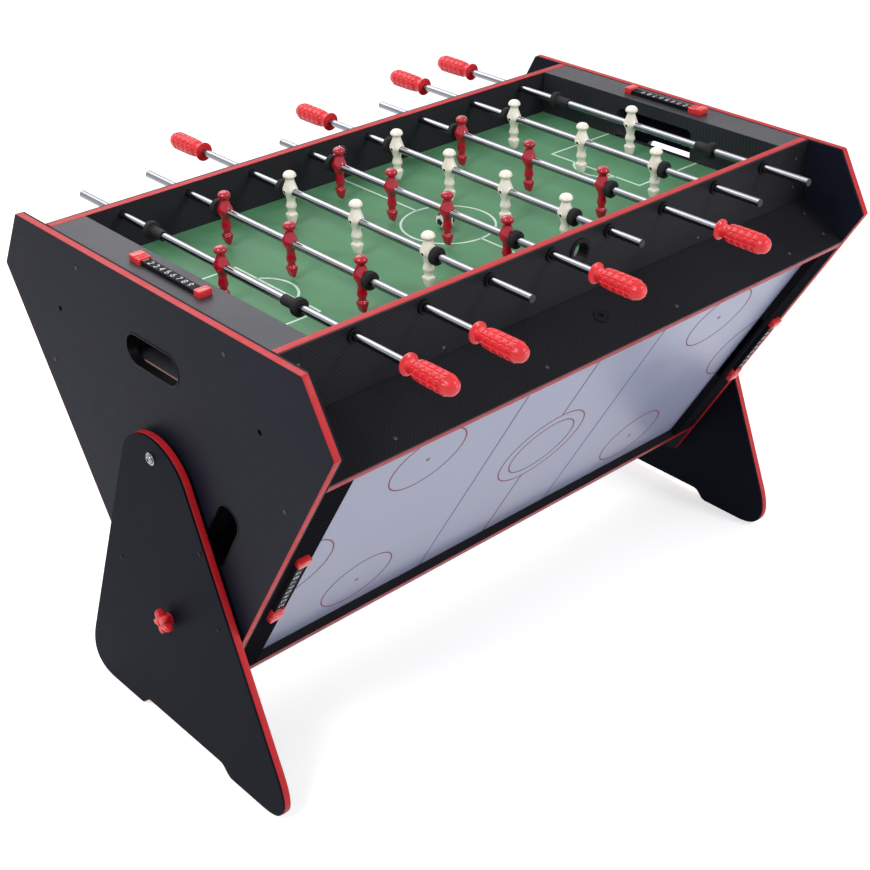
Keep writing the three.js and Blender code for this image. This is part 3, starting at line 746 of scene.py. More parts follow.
def ring(bm, centre, radius, width, turn):
    points = arc_points(centre, radius, 0, 2 * math.pi, CIRCLE_STEPS)[:-1]
    ribbon(bm, points, width, PRINT_DEPTH, turn, closed=True)


def cut_arc(bm, middle_x, radius, line_x, way, width, turn):
    """The part of a circle beyond a line across the face, at one of the face's ends."""
    reach = math.acos((middle_x - line_x) / radius)
    middle = math.pi if way > 0 else 0
    points = arc_points((way * middle_x, 0), radius, middle - reach, middle + reach, CIRCLE_STEPS // 2)
    ribbon(bm, points, width, PRINT_DEPTH, turn)


def spot(bm, place):
    turned(bm, [(SPOT, 0), (SPOT, PRINT_DEPTH)], place, SMALL_STEPS)


def add_pitch_lines():
    turn, end_x, side_y = bed_top("football_pitch", FOOTBALL)
    box_x, box_y = GOAL_BOX
    with piece("pitch_lines", CABINET, "white_men", "chalk") as bm:
        ring(bm, (0, 0), CENTRE_CIRCLE, PITCH_LINE, turn)
        for way in (-1, 1):
            ribbon(bm, [(0, way * CENTRE_CIRCLE), (0, way * side_y)], PITCH_LINE, PRINT_DEPTH, turn)
            corners = [(way * end_x, box_y), (way * box_x, box_y), (way * box_x, -box_y), (way * end_x, -box_y)]
            ribbon(bm, corners, PITCH_LINE, PRINT_DEPTH, turn)
            cut_arc(bm, *GOAL_ARC, box_x, way, PITCH_LINE, turn)
        spot(bm, turn)


def add_ice_lines():
    turn, end_x, side_y = bed_top("hockey_surface", HOCKEY)
    spot_x, spot_y, spot_radius = FACE_OFF
    with piece("ice_red_lines", CABINET, "red_men", "maroon") as bm:
        for radius in ICE_RINGS:
            ring(bm, (0, 0), radius, ICE_LINE, turn)
        for way in (-1, 1):
            ribbon(bm, [(0, way * ICE_RINGS[0]), (0, way * side_y)], ICE_LINE, PRINT_DEPTH, turn)
            for across in (-spot_y, spot_y):
                ring(bm, (way * spot_x, across), spot_radius, ICE_LINE, turn)
                spot(bm, turn @ at((way * spot_x, across, 0)))
            cut_arc(bm, *CREASE, end_x, way, ICE_LINE, turn)
    with piece("ice_blue_lines", CABINET, "pool_cloth", "blue") as bm:
        for x in (-BLUE_LINE_X, BLUE_LINE_X):
            ribbon(bm, [(x, -side_y), (x, side_y)], ICE_LINE, PRINT_DEPTH, turn)


# Rods: the bare tube, the men on it, the grip and the stoppers

MEN_ON_ROD = (1, 3, 3, 4, 4, 3, 3, 1)
MEN_ACROSS = {1: (0.0,), 3: (-0.175, 0.0, 0.175), 4: (-0.210, -0.070, 0.070, 0.210)}
ROD_RADIUS = 0.0065
ROD_CAP_RADIUS = 0.0066
CAP_LENGTH = 0.0016
TUBE_WALL = 0.0009
TUBE_ROUND = 0.0006
MAN_STEPS = 16

# A man's sections from the head down: height above the rod, half width along the rod, half depth across
# it, and how square the section is, in millimetres
MM = 0.001
RED_MAN = (
    (35, 2.6, 2.6, 2), (34.3, 6.2, 6.2, 2), (32.6, 9, 9, 2), (30, 10.9, 10.9, 2), (27, 11.4, 11.4, 2),
    (24.6, 10.6, 10.6, 2), (22.9, 8.8, 8.6, 2), (21.6, 7.4, 7.2, 2), (20, 7.2, 6.8, 2), (17.5, 7.9, 7.3, 2.1),
    (13, 9.6, 8.8, 2.2), (8.5, 11.4, 10.4, 2.4), (4.5, 13.4, 12, 2.5), (1, 14.2, 12.4, 2.5),
    (-2.5, 13, 12.2, 2.5), (-6.5, 9.8, 10, 2.4), (-10, 7.8, 8.2, 2.3), (-14, 6.8, 7, 2.2),
    (-19, 6.6, 6.6, 2.2), (-25, 8, 7.8, 2.3),
    (-29, 8.6, 8.4, 2.3), (-31.5, 8, 7.8, 2.3), (-34, 6.2, 6, 2.3), (-39.4, 5.6, 5.6, 2.6),
    (-40.6, 7.6, 7, 3.6), (-42.4, 8.8, 8.2, 4.5), (-44, 8.8, 8.2, 5), (-58.6, 7, 3.2, 4), (-60, 6.2, 2.2, 4),
)
WHITE_MAN = (
    (35.2, 3, 3, 2), (34.4, 6.8, 6.8, 2), (32.4, 9.6, 9.6, 2), (29.6, 11.5, 11.5, 2), (27, 12.3, 12.3, 2),
    (25.2, 11.4, 11.4, 2), (23.8, 9, 8.8, 2), (22.4, 7.8, 7.6, 2), (20.6, 7.6, 7.2, 2), (16.5, 8.8, 8.2, 2.1),
    (12, 10.6, 9.6, 2.2), (7, 12.8, 11, 2.3), (3.4, 15, 12, 2.3), (0.4, 15, 12.3, 2.3), (-3, 12.4, 11.6, 2.3),
    (-7, 9.8, 9.8, 2.2), (-12, 8, 8.2, 2.2), (-17, 7, 7, 2.2), (-20, 7.4, 7.4, 2.2), (-26, 9.6, 9.2, 2.3),
    (-28.6, 9.8, 9.4, 2.3), (-30.6, 8.4, 8, 2.3), (-34, 6.6, 6.4, 2.4), (-39.2, 6.2, 6.2, 2.8),
    (-40.4, 8.4, 7.8, 4), (-42.4, 9.4, 8.6, 5), (-44, 9.4, 8.6, 5), (-58.6, 7.4, 4.2, 4), (-60, 6.6, 3.2, 4),
)
SCREW_HOLE = {"red": 1, "white": -1}
HOLE_OUTER, HOLE_INNER, HOLE_STAND = 0.0039, 0.0029, 0.0006
MAN_DEPTH_AT_ROD = 0.0122


def squared(steps, power):
    """A circle's directions pressed towards a square: the power is 2 for a circle."""
    return [tuple(math.copysign(abs(part) ** (2 / power), part) for part in way) for way in circle(steps)]


def man_mesh(team):
    """One man, his rod along Y through the origin: a turned head, a pear body, two-tier legs and a foot."""
    bm = bmesh.new()
    rows = RED_MAN if team == "red" else WHITE_MAN
    loft(bm, [[Vector((x * half_depth, y * half_width, height)) * MM for x, y in squared(MAN_STEPS, power)]
              for height, half_width, half_depth, power in reversed(rows)])
    return mesh_from(bm, f"{team}_man", 60)


def add_man_screws(body, team, places):
    """The raised rim of each man's screw hole, and a near-black disc filling it as painted shade of the hole.
    """
    side = SCREW_HOLE[team]
    look = out_of_end(side)
    with piece(f"{body}_man_screws", body, f"{team}_men", f"{team}_man", "painted_shade") as bm:
        for centre in places:
            place = at(centre + Vector((side * MAN_DEPTH_AT_ROD, 0, 0))) @ look
            turned(bm, [(HOLE_OUTER, -0.004), (HOLE_OUTER, -0.0002), (HOLE_INNER + 0.0004, HOLE_STAND),
                        (HOLE_INNER, HOLE_STAND), (HOLE_INNER, -0.004)], place, SMALL_STEPS, closed=True)
            # A near-black disc filling the hole: painted shade
            turned(bm, [(HOLE_INNER, -0.0038), (HOLE_INNER, HOLE_STAND - 0.0005)], place, SMALL_STEPS,
                   material=1)


def tube_profile(start, end):
    """A rod's closed section along its axis, with softened rims."""
    radius, inner, soft = ROD_RADIUS, ROD_RADIUS - TUBE_WALL, TUBE_ROUND
    return [
        (inner, start + soft * 0.5), (inner + soft * 0.5, start), (radius - soft, start),
        (radius, start + soft), (radius, end - soft), (radius - soft, end), (inner + soft * 0.5, end),
        (inner, end - soft * 0.5),
    ]


def rod_places(number):
    """A rod's axis at its middle, its team, its ends along Y, and the middle of its two stoppers."""
    axis = Vector(JOINTS[f"rod_{number}_spin"]["pos_m"])
    low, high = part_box(f"rod_{number}_players")
    grip_low, grip_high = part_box(f"rod_{number}_handle")
    team = "red" if grip_low.y + grip_high.y < 0 else "white"
    near, far = (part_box(f"rod_{number}_{side}_stopper") for side in ("near", "far"))
    return axis, team, (low.y, high.y), (near[0].y + far[1].y) / 2


def add_rods():
    men = {team: man_mesh(team) for team in SCREW_HOLE}
    for number in range(1, ROD_COUNT + 1):
        axis, team, (start, end), middle = rod_places(number)
        body = f"rod_{number}"
        place = at((axis.x, 0, axis.z)) @ ALONG_Y
        with piece(f"{body}_tube", body, "steel_chrome", "chrome", stands_for=f"{body}_players") as bm:
            turned(bm, tube_profile(start, end), place, ROD_STEPS, closed=True)
        tip, way = (end, 1) if team == "red" else (start, -1)
        with piece(f"{body}_tip_cap", body, "blower_black", "tip") as bm:
            turned(bm, [(NIB, -CAP_LENGTH), (ROD_CAP_RADIUS, -CAP_LENGTH), (ROD_CAP_RADIUS, -TUBE_ROUND),
                        (ROD_CAP_RADIUS - TUBE_ROUND, 0), (NIB, 0)],
                   place @ at((0, 0, tip)) @ Matrix.Diagonal((1, 1, way, 1)), ROD_STEPS)
        places = [Vector((axis.x, middle + y, axis.z)) for y in MEN_ACROSS[MEN_ON_ROD[number - 1]]]
        add_man_screws(body, team, places)
        for k, centre in enumerate(places, 1):
            mesh = men[team].copy()
            mesh.transform(at(centre))
            man = place_piece(f"{body}_man_{k}", mesh, body, f"{team}_men", f"{team}_man")
            smooth = man.modifiers.new("round", "SUBSURF")
            smooth.levels = smooth.render_levels = 1
        add_grip(number, axis, team)
        add_stoppers(number, axis)


# Grip: a flange, a neck and a body with rows of raised pads. Each row gives where it starts as a share of
# the grip's length, and the outline gives radius shares of the flange.
GRIP_FLANGE = 0.0170
GRIP_OUTLINE = (
    (0.92, 0.0), (1.0, 0.006), (1.0, 0.024), (0.93, 0.034), (0.73, 0.046), (0.66, 0.07), (0.64, 0.13),
    (0.67, 0.165), (0.74, 0.20), (0.80, 0.24), (0.84, 0.31), (0.86, 0.385), (0.865, 0.53), (0.87, 0.675),
    (0.87, 0.78), (0.86, 0.85), (0.82, 0.90), (0.72, 0.945), (0.55, 0.975), (0.30, 0.994), (0.08, 1.0),
)
PAD_ROWS = (0.195, 0.315, 0.455, 0.60, 0.74, 0.865)
PAD_COUNT = 10
PAD_LIFT = 0.0015
RING_LIFT = 0.0006
GROOVE = 0.0018
GROOVE_EDGE = 0.0009
PAD_SPANS = 3


def outline_radius(share):
    for (low_radius, low), (high_radius, high) in zip(GRIP_OUTLINE, GRIP_OUTLINE[1:]):
        if low <= share <= high:
            mixed = low_radius + (high_radius - low_radius) * (share - low) / (high - low)
            return mixed * GRIP_FLANGE
    return GRIP_OUTLINE[-1][0] * GRIP_FLANGE


def grip_stations(length):
    """Places along the grip, as (share, lift): the outline's own and both lips of each ring groove."""
    groove, lip = GROOVE / 2 / length, (GROOVE / 2 + GROOVE_EDGE) / length
    stations = [(share, 0.0) for _, share in GRIP_OUTLINE
                if share < PAD_ROWS[0] - lip or share > PAD_ROWS[-1] + lip]
    for start, end in zip(PAD_ROWS, PAD_ROWS[1:]):
        stations.append((start + groove, RING_LIFT))
        for k in range(PAD_SPANS + 1):
            stations.append((start + lip + (end - start - 2 * lip) * k / PAD_SPANS, PAD_LIFT))
        stations.append((end - groove, RING_LIFT))
    return sorted(stations)


def grip_angles():
    """Directions round the grip, as (angle, on a pad)."""
    groove, lip = GROOVE / 2 / GRIP_FLANGE, (GROOVE / 2 + GROOVE_EDGE) / GRIP_FLANGE
    angles = []
    step = 2 * math.pi / PAD_COUNT
    for k in range(PAD_COUNT):
        start = k * step
        angles.append((start + groove, False))
        for j in range(PAD_SPANS + 1):
            angles.append((start + lip + (step - 2 * lip) * j / PAD_SPANS, True))
        angles.append((start + step - groove, False))
    return angles


def add_grip(number, axis, team):
    body = f"rod_{number}"
    low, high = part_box(f"{body}_handle")
    length = high.y - low.y
    start, side = (high.y, -1) if team == "red" else (low.y, 1)
    with piece(f"{body}_grip", body, "red_plastic", "grip", stands_for=f"{body}_handle", crease=50) as bm:
        sections = []
        for share, lift in grip_stations(length):
            radius, along = outline_radius(share), start + side * share * length
            reaches = [(angle, radius + (lift if on_pad else 0)) for angle, on_pad in grip_angles()]
            sections.append([Vector((axis.x + reach * math.cos(angle), along, axis.z + reach * math.sin(angle)))
                             for angle, reach in reaches])
        loft(bm, sections)


# Stoppers: a thick rubber drum with fine grooves and, on the keepers' rods, a sleeve towards the man
DRUM_LENGTH = 0.0095
SLEEVE_RADIUS = 0.0088
STOPPER_ROUND = 0.0014
STOPPER_GROOVE = 0.0005
BORE_GAP = 0.0002


def add_stoppers(number, axis):
    bore, soft = ROD_RADIUS + BORE_GAP, STOPPER_ROUND
    for side_name, side in (("near", -1), ("far", 1)):
        node = f"rod_{number}_{side_name}_stopper"
        low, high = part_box(node)
        radius = (high.z - low.z) / 2
        length = high.y - low.y
        foot = length - DRUM_LENGTH
        profile = [(bore, foot)]
        if foot > soft:
            profile = [(bore, 0), (SLEEVE_RADIUS - soft / 2, 0), (SLEEVE_RADIUS, soft / 2),
                       (SLEEVE_RADIUS, foot - soft), (SLEEVE_RADIUS + soft, foot)]
        profile += [(radius - soft, foot), (radius - soft * 0.3, foot + soft * 0.3), (radius, foot + soft)]
        for share in (0.36, 0.64):
            mid = foot + DRUM_LENGTH * share
            profile += [(radius, mid - STOPPER_GROOVE), (radius - STOPPER_GROOVE, mid),
                        (radius, mid + STOPPER_GROOVE)]
        profile += [(radius, length - soft), (radius - soft * 0.3, length - soft * 0.3),
                    (radius - soft, length), (radius * 0.62, length), (radius * 0.60, length - 0.0004),
                    (radius * 0.58, length),
                    (bore, length)]
        start = low.y if side > 0 else high.y
        place = at((axis.x, start, axis.z)) @ ALONG_Y @ Matrix.Diagonal((1, 1, side, 1))
        with piece(f"rod_{number}_{side_name}_bumper", f"rod_{number}_carriage", "stopper_rubber", "rubber",
                   stands_for=node) as bm:
            turned(bm, profile, place, DRUM_STEPS, closed=True)


# Rod bushes and the serving cups on the football boards

BUSH_RADIUS = 0.0118
BUSH_STAND = 0.0043
BUSH_SUNK = 0.0005
CUP_HOLE = 0.0168
CUP_RADIUS = 0.0234
CUP_STAND = 0.0030
CUP_DROP = 0.034
LINER = 0.0004


def add_board_fittings():
    for node in ("football_near_board", "football_far_board"):
        side, back_y, face_y, top = board_reach(node)
        outward = ALONG_Y @ Matrix.Diagonal((1, 1, side, 1))
        sunk = face_y - 0.001
        bore, rim, foot = ROD_RADIUS + LINER, face_y + BUSH_STAND, back_y + BUSH_SUNK
        profile = [(bore, foot), (bore, rim - 0.0008), (bore + 0.0008, rim), (BUSH_RADIUS - 0.0012, rim),
                   (BUSH_RADIUS, rim - 0.0012), (BUSH_RADIUS, sunk), (bore + 0.0003, sunk),
                   (bore + 0.0003, foot)]
        with piece(f"{node}_bushes", CABINET, "blower_black", "nylon") as bm:
            for number in range(1, ROD_COUNT + 1):
                axis = Vector(JOINTS[f"rod_{number}_spin"]["pos_m"])
                turned(bm, profile, at((axis.x, 0, axis.z)) @ outward, BUSH_STEPS, closed=True)
        rim, foot = face_y + CUP_STAND, back_y - 0.001
        profile = [(CUP_HOLE, foot), (CUP_HOLE, rim - 0.002), (CUP_HOLE + 0.0015, rim),
                   (CUP_RADIUS - 0.002, rim), (CUP_RADIUS, rim - 0.0015), (CUP_RADIUS, sunk),
                   (CUP_HOLE + 0.0001, sunk),
                   (CUP_HOLE + 0.0001, foot)]
        with piece(f"{node}_serving_cup", CABINET, "blower_black", "nylon") as bm:
            turned(bm, profile, face_frame(FOOTBALL) @ at((0, 0, top - CUP_DROP)) @ outward, DRUM_STEPS,
                   closed=True)


# Score bars: a black bar with white figures between two red end blocks, and a red slider astride it

BAR_HEIGHT = 0.007
BAR_HALF = 0.008
BLOCK_LENGTH = 0.014
SLEEVE = 0.00015
BLOCK_SKIN = 0.0005
BLOCK_BEVEL = 0.0012
FIGURE_PITCH = 0.0148
FIGURE_START = 0.0634
FIGURE_SIZE = (0.0056, 0.0092)
FIGURE_STROKE = 0.0014
FIGURE_DEPTH = 0.00006
SADDLE_GAP = 0.0003
SADDLE_ROUND = 0.0013
SADDLE_RIB_PITCH = 0.0036


def bowl(low, high, start, end, steps=9):
    """Part of an oval that spans two heights of a figure, from one angle to another in degrees."""
    points = []
    for k in range(steps + 1):
        angle = math.radians(start + (end - start) * k / steps)
        points.append((0.5 + 0.5 * math.cos(angle), (low + high) / 2 + (high - low) / 2 * math.sin(angle)))
    return points


# Strokes of each figure in a box one wide and one high
FIGURES = {
    1: [[(0.15, 0.78), (0.55, 1.0), (0.55, 0.0)]],
    2: [bowl(0.5, 1.0, 170, -30) + [(0.02, 0.0), (1.0, 0.0)]],
    3: [bowl(0.5, 1.0, 160, -80) + bowl(0.0, 0.54, 80, -160)],
    4: [[(0.75, 0.0), (0.75, 1.0), (0.0, 0.3), (1.0, 0.3)]],
    5: [[(0.92, 1.0), (0.12, 1.0), (0.08, 0.55)] + bowl(0.0, 0.62, 120, -160)],
    6: [[(0.8, 1.0), (0.3, 0.75)] + bowl(0.0, 0.6, 165, 510, 16)],
    7: [[(0.0, 1.0), (1.0, 1.0), (0.35, 0.0)]],
    8: [bowl(0.5, 1.0, -90, 270, 16), bowl(0.0, 0.5, 90, 450, 16)],
    9: [bowl(0.4, 1.0, -15, -360, 16) + [(0.7, 0.25), (0.2, 0.0)]],
}


def score_places(face, end):
    """A score bar's limits across its rail, the reach of its end blocks, the rail's top and the blocks' top."""
    places = face_points(f"{FACE_NAMES[face]}_{end}_end_rail", face)
    high = max(place.z for place in places)
    tops = [place for place in places if place.z > high - TINY]
    reach = max(place.y for place in tops)
    rail_top = board_top(f"{FACE_NAMES[face]}_{'near' if face == FOOTBALL else 'lower'}_board")[2]
    return (min(place.x for place in tops), max(place.x for place in tops)), reach, rail_top, high


def add_figures(name, place):
    width, height = FIGURE_SIZE
    with piece(name, CABINET, "white_men", "digit") as bm:
        for figure, strokes in FIGURES.items():
            shift = (figure - 1) * FIGURE_PITCH - FIGURE_START
            for stroke in strokes:
                points = [(shift + (x - 0.5) * width, (y - 0.5) * height) for x, y in stroke]
                ribbon(bm, points, FIGURE_STROKE, FIGURE_DEPTH, place)


def add_slider(node, body, face, middle, rail_top):
    """A saddle with chamfered ends and three ribs across its roof."""
    low, high = face_box(node, face)
    outer, inner = (high.x - low.x) / 2, BAR_HALF + SADDLE_GAP
    foot, roof = low.z, high.z
    under = rail_top + BAR_HEIGHT + SADDLE_GAP
    turn = face_frame(face)

    def section(y, inset):
        wide, tall = outer - inset, roof - inset
        spots = [(-wide, foot), (-wide, tall - SADDLE_ROUND), (SADDLE_ROUND - wide, tall),
                 (wide - SADDLE_ROUND, tall), (wide, tall - SADDLE_ROUND), (wide, foot), (inner, foot),
                 (inner, under), (-inner, under), (-inner, foot)]
        return [turn @ Vector((middle + x, y, z)) for x, z in spots]

    with piece(f"{node}_saddle", body, "red_plastic", "score_red", stands_for=node) as bm:
        start, end = low.y + 0.00025, high.y - 0.00025
        loft(bm, [section(start, 0.0006), section(start + 0.0006, 0), section(end - 0.0006, 0),
                  section(end, 0.0006)])
        for k in (-1, 0, 1):
            y = (start + end) / 2 + k * SADDLE_RIB_PITCH
            rounded_box(bm, (middle - outer + 0.003, y - 0.0008, roof - 0.0004),
                        (middle + outer - 0.003, y + 0.0008, roof + 0.0009), 0.0003, turn, 1)


def add_score_bars():
    for face in (FOOTBALL, HOCKEY):
        turn = face_frame(face)
        for end in ENDS:
            label = f"{FACE_NAMES[face]}_{end}"
            (low_x, high_x), reach, rail_top, block_top = score_places(face, end)
            middle, half = (low_x + high_x) / 2, BAR_HALF + SLEEVE
            inner = reach - BLOCK_LENGTH
            with piece(f"{label}_score_bar", CABINET, "blower_black", "score_bar") as bm:
                rounded_box(bm, (middle - half, -inner, rail_top + PRINT_LIFT),
                            (middle + half, inner, rail_top + BAR_HEIGHT + SLEEVE), 0.0001, turn, 1)
            with piece(f"{label}_score_ends", CABINET, "red_plastic", "score_red") as bm:
                for way in (-1, 1):
                    near, far = sorted((way * inner, way * reach))
                    rounded_box(bm, (low_x - BLOCK_SKIN, near - BLOCK_SKIN, rail_top + PRINT_LIFT),
                                (high_x + BLOCK_SKIN, far + BLOCK_SKIN, block_top + BLOCK_SKIN), BLOCK_BEVEL,
                                turn)
            slider = f"{label}_score_slider"
            low, high = face_box(slider, face)
            run = -1 if low.y + high.y > 0 else 1
            lift = at((middle, 0, rail_top + BAR_HEIGHT + SLEEVE))
            add_figures(f"{label}_score_figures", turn @ lift @ Matrix.Rotation(run * math.pi / 2, 4, "Z"))
            add_slider(slider, f"{label}_score", face, middle, rail_top)


# Fasteners

SCREW_RADIUS = 0.0034
SCREW_STAND = 0.0012
CROSS_HALF = 0.0017
CROSS_WIDTH = 0.0007


def add_screws(name, body, places, look="dark_zinc"):
    """Pan-headed screws: each place's Z looks out of the surface. Their cross slots are near-black bars on the
    head, painted shade.
    """
    with piece(name, body, "steel_chrome", look, "painted_shade") as bm:
        for place in places:
            turned(bm, [(NIB, -0.001), (SCREW_RADIUS - 0.0004, -0.001), (SCREW_RADIUS, 0.0002),
                        (SCREW_RADIUS * 0.92, SCREW_STAND * 0.6), (SCREW_RADIUS * 0.7, SCREW_STAND * 0.92),
                        (SCREW_RADIUS * 0.35, SCREW_STAND), (NIB, SCREW_STAND)], place, SCREW_STEPS)
            # Cross slots as near-black bars laid on the head: painted shade
            for spin in (0.4, 0.4 + math.pi / 2):
                arm = place @ Matrix.Rotation(spin, 4, "Z") @ at((0, 0, SCREW_STAND))
                bar = Matrix.Diagonal((2 * CROSS_HALF, CROSS_WIDTH, 0.0002, 1))
                for vert in bmesh.ops.create_cube(bm, size=1, matrix=arm @ bar)["verts"]:
                    for made in vert.link_faces:
                        made.material_index = 1


# Screws of the boards, in a face's frame as (x, height in the face's frame), and of the panels and legs in
# the table's frame as (y, height above the pivot)
HOCKEY_BOARD_SCREWS = ((-0.456, 0.265), (-0.148, 0.265), (0.157, 0.265), (0.461, 0.265), (-0.569, 0.207),
                       (-0.569, 0.258), (0.569, 0.207), (0.569, 0.258))
FOOTBALL_BOARD_SCREWS = ((-0.292, 0.189), (0.297, 0.188), (-0.561, 0.207), (-0.562, 0.260), (0.561, 0.207),
                         (0.562, 0.260))
PANEL_SCREW_RINGS = ((0.319, -22), (0.319, 22))
LEG_SCREWS = ((0.136, -0.257), (-0.144, -0.253), (-0.113, -0.122))


def add_all_screws():
    for node, face in BOARDS.items():
        side, _, reach, _ = board_reach(node)
        rows = FOOTBALL_BOARD_SCREWS if face == FOOTBALL else HOCKEY_BOARD_SCREWS
        turn, look = face_frame(face), Matrix.Rotation(-side * math.pi / 2, 4, "X")
        add_screws(f"{node}_screws", CABINET,
                   [turn @ at((x, side * reach, z)) @ look for x, z in rows])
    ring_spots = [(radius, math.radians(vertex + swing)) for vertex in (30, 150, 270)
                  for radius, swing in PANEL_SCREW_RINGS]
    panel_rows = [(radius * math.cos(angle), radius * math.sin(angle)) for radius, angle in ring_spots]
    for end, side in ENDS.items():
        look = out_of_end(side)
        for node, body, rows, finish in ((f"{end}_end_panel", CABINET, panel_rows, "dark_zinc"),
                                         (f"{end}_leg", STAND, LEG_SCREWS, "black_zinc")):
            reach = side * end_reach(node)[1]
            add_screws(f"{node}_screws", body,
                       [at((reach, y, PIVOT_Z + z)) @ look for y, z in rows], finish)


# Pivot bolts and lock knobs

PIVOT_SHANK = 0.004
WASHER_RADIUS = 0.0112
HEAD_RADIUS = 0.0080
SOCKET_RADIUS = 0.0028
SPACER_RADIUS = 0.015
NUT_RADIUS = 0.0075
PIVOT_GAP = 0.0003


def hex_prism(bm, place, radius, low, high, chamfer):
    """A hexagon bar with its outer end's corners turned off."""
    loft(bm, [[place @ Vector((reach * c, reach * s, along)) for c, s in circle(6)]
              for along, reach in ((low, radius), (high - chamfer, radius), (high, radius - chamfer))])


def add_pivots():
    for end, side in ENDS.items():
        node = f"{end}_pivot_bolt"
        look = at((0, 0, PIVOT_Z)) @ out_of_end(side)
        leg_inner, leg_outer = end_reach(f"{end}_leg")
        panel_inner, panel_outer = end_reach(f"{end}_end_panel")
        start, reach = end_reach(node)
        throat = PIVOT_SHANK * 0.9
        washer, spacer, foot = leg_outer + PIVOT_GAP, panel_outer + PIVOT_GAP, leg_inner - PIVOT_GAP
        head = washer + 0.0028
        dome = [(NIB, washer + 0.001), (HEAD_RADIUS, washer + 0.001), (HEAD_RADIUS, head)]
        for k in range(1, 9):
            angle = math.pi / 2 * k / 9
            dome.append((HEAD_RADIUS * math.cos(angle) ** 0.8, head + (reach - head) * math.sin(angle)))
        dome = [row for row in dome if row[0] > SOCKET_RADIUS or row[1] < washer + 0.002]
        top = dome[-1][1]
        dome += [(SOCKET_RADIUS, top), (SOCKET_RADIUS, top - 0.0022), (NIB, top - 0.0022)]
        with piece(f"{end}_pivot", STAND, "steel_chrome", "chrome", stands_for=node) as bm:
            turned(bm, [(PIVOT_SHANK, start), (PIVOT_SHANK, washer + 0.001)], look, BUSH_STEPS)
            turned(bm, [(throat, washer), (WASHER_RADIUS - 0.0004, washer), (WASHER_RADIUS, washer + 0.0004),
                        (WASHER_RADIUS, washer + 0.0013), (WASHER_RADIUS - 0.0005, washer + 0.0018),
                        (throat, washer + 0.0018)], look, DRUM_STEPS, closed=True)
            turned(bm, dome, look, DRUM_STEPS)
            turned(bm, [(throat, spacer), (SPACER_RADIUS - 0.0005, spacer), (SPACER_RADIUS, spacer + 0.0006),
                        (SPACER_RADIUS, foot - 0.0006), (SPACER_RADIUS - 0.0005, foot), (throat, foot)],
                   look, DRUM_STEPS, closed=True)
            hex_prism(bm, look, NUT_RADIUS, start, panel_inner - PIVOT_GAP, 0.0008)


KNOB_LOBES = 5
KNOB_STEPS = 80
KNOB_VALLEY = 0.0120
KNOB_HUB = 0.0108
KNOB_HUB_LENGTH = 0.007
KNOB_POINT = 1.1
KNOB_SHARES = ((0, 0.80), (0.06, 0.92), (0.16, 0.99), (0.70, 1.0), (0.90, 0.90), (0.98, 0.76))
STUD_RADIUS = 0.004


def add_knobs():
    for end, side in ENDS.items():
        node = f"{end}_lock_knob"
        axis = Vector(JOINTS[f"{end}_knob_turn"]["pos_m"])
        look = at((0, 0, axis.z)) @ out_of_end(side)
        low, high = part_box(node)
        start, reach = end_reach(node)
        tip = (high.y - low.y) / 2
        hub = end_reach(f"{end}_leg")[1] + PIVOT_GAP
        head = hub + KNOB_HUB_LENGTH

        def star(along, scale):
            places = []
            for k in range(KNOB_STEPS):
                angle = 2 * math.pi * k / KNOB_STEPS
                swell = (0.5 + 0.5 * math.cos(KNOB_LOBES * angle)) ** KNOB_POINT
                radius = (KNOB_VALLEY + (tip * 1.02 - KNOB_VALLEY) * swell) * scale
                places.append(look @ Vector((-radius * math.cos(angle), radius * math.sin(angle), along)))
            return places

        with piece(f"{end}_star_knob", f"{end}_knob", "red_plastic", "grip", stands_for=node, crease=42) as bm:
            turned(bm, [(STUD_RADIUS, start), (STUD_RADIUS, head)], look, SMALL_STEPS)
            turned(bm, [(KNOB_HUB - 0.0006, hub), (KNOB_HUB, hub + 0.0006), (KNOB_HUB, head + 0.001)], look,
                   DRUM_STEPS)
            loft(bm, [star(head + (reach - head) * share, scale) for share, scale in KNOB_SHARES]
                 + [star(reach, 0.62), star(reach, 0.36), star(reach - 0.0012, 0.33)])


# The ball on the pitch, with its pattern of dark pentagons

BALL_RADIUS = 0.016
BALL_PLACE = (-0.014, -0.008)
# How far it has rolled, and about which axis
BALL_ROLL = (0.5, 4, (0.4, 0.8, 0.3))
PENTAGON_EDGE = 0.205


def add_ball():
    turn, _, _ = bed_top("football_pitch", FOOTBALL)
    coarse = bmesh.new()
    bmesh.ops.create_icosphere(coarse, subdivisions=1, radius=1)
    corners = [vert.co.normalized() for vert in coarse.verts]
    coarse.free()
    beside = {k: [j for j, other in enumerate(corners) if j != k and corner.dot(other) > 0.3]
              for k, corner in enumerate(corners)}
    size = Matrix.Diagonal((BALL_RADIUS, BALL_RADIUS, BALL_RADIUS, 1))
    place = turn @ at((*BALL_PLACE, BALL_RADIUS)) @ size @ Matrix.Rotation(*BALL_ROLL)
    with piece("football", CABINET, "white_men", "ball_white", "ball_black") as bm:
        bmesh.ops.create_icosphere(bm, subdivisions=5, radius=1)
        for made in bm.faces:
            way = made.calc_center_median().normalized()
            nearest = max(range(len(corners)), key=lambda k: way.dot(corners[k]))
            level = way.dot(corners[nearest])
            made.material_index = int(all(level - way.dot(corners[j]) > PENTAGON_EDGE for j in beside[nearest]))
        bmesh.ops.transform(bm, matrix=place, verts=bm.verts)


# The blower's inlet on the upper hockey board, and the posts and pockets of the pool bed

INLET = (0.010, 0.063)
INLET_RADIUS, INLET_HOLE, INLET_STAND = 0.0134, 0.0038, 0.0024


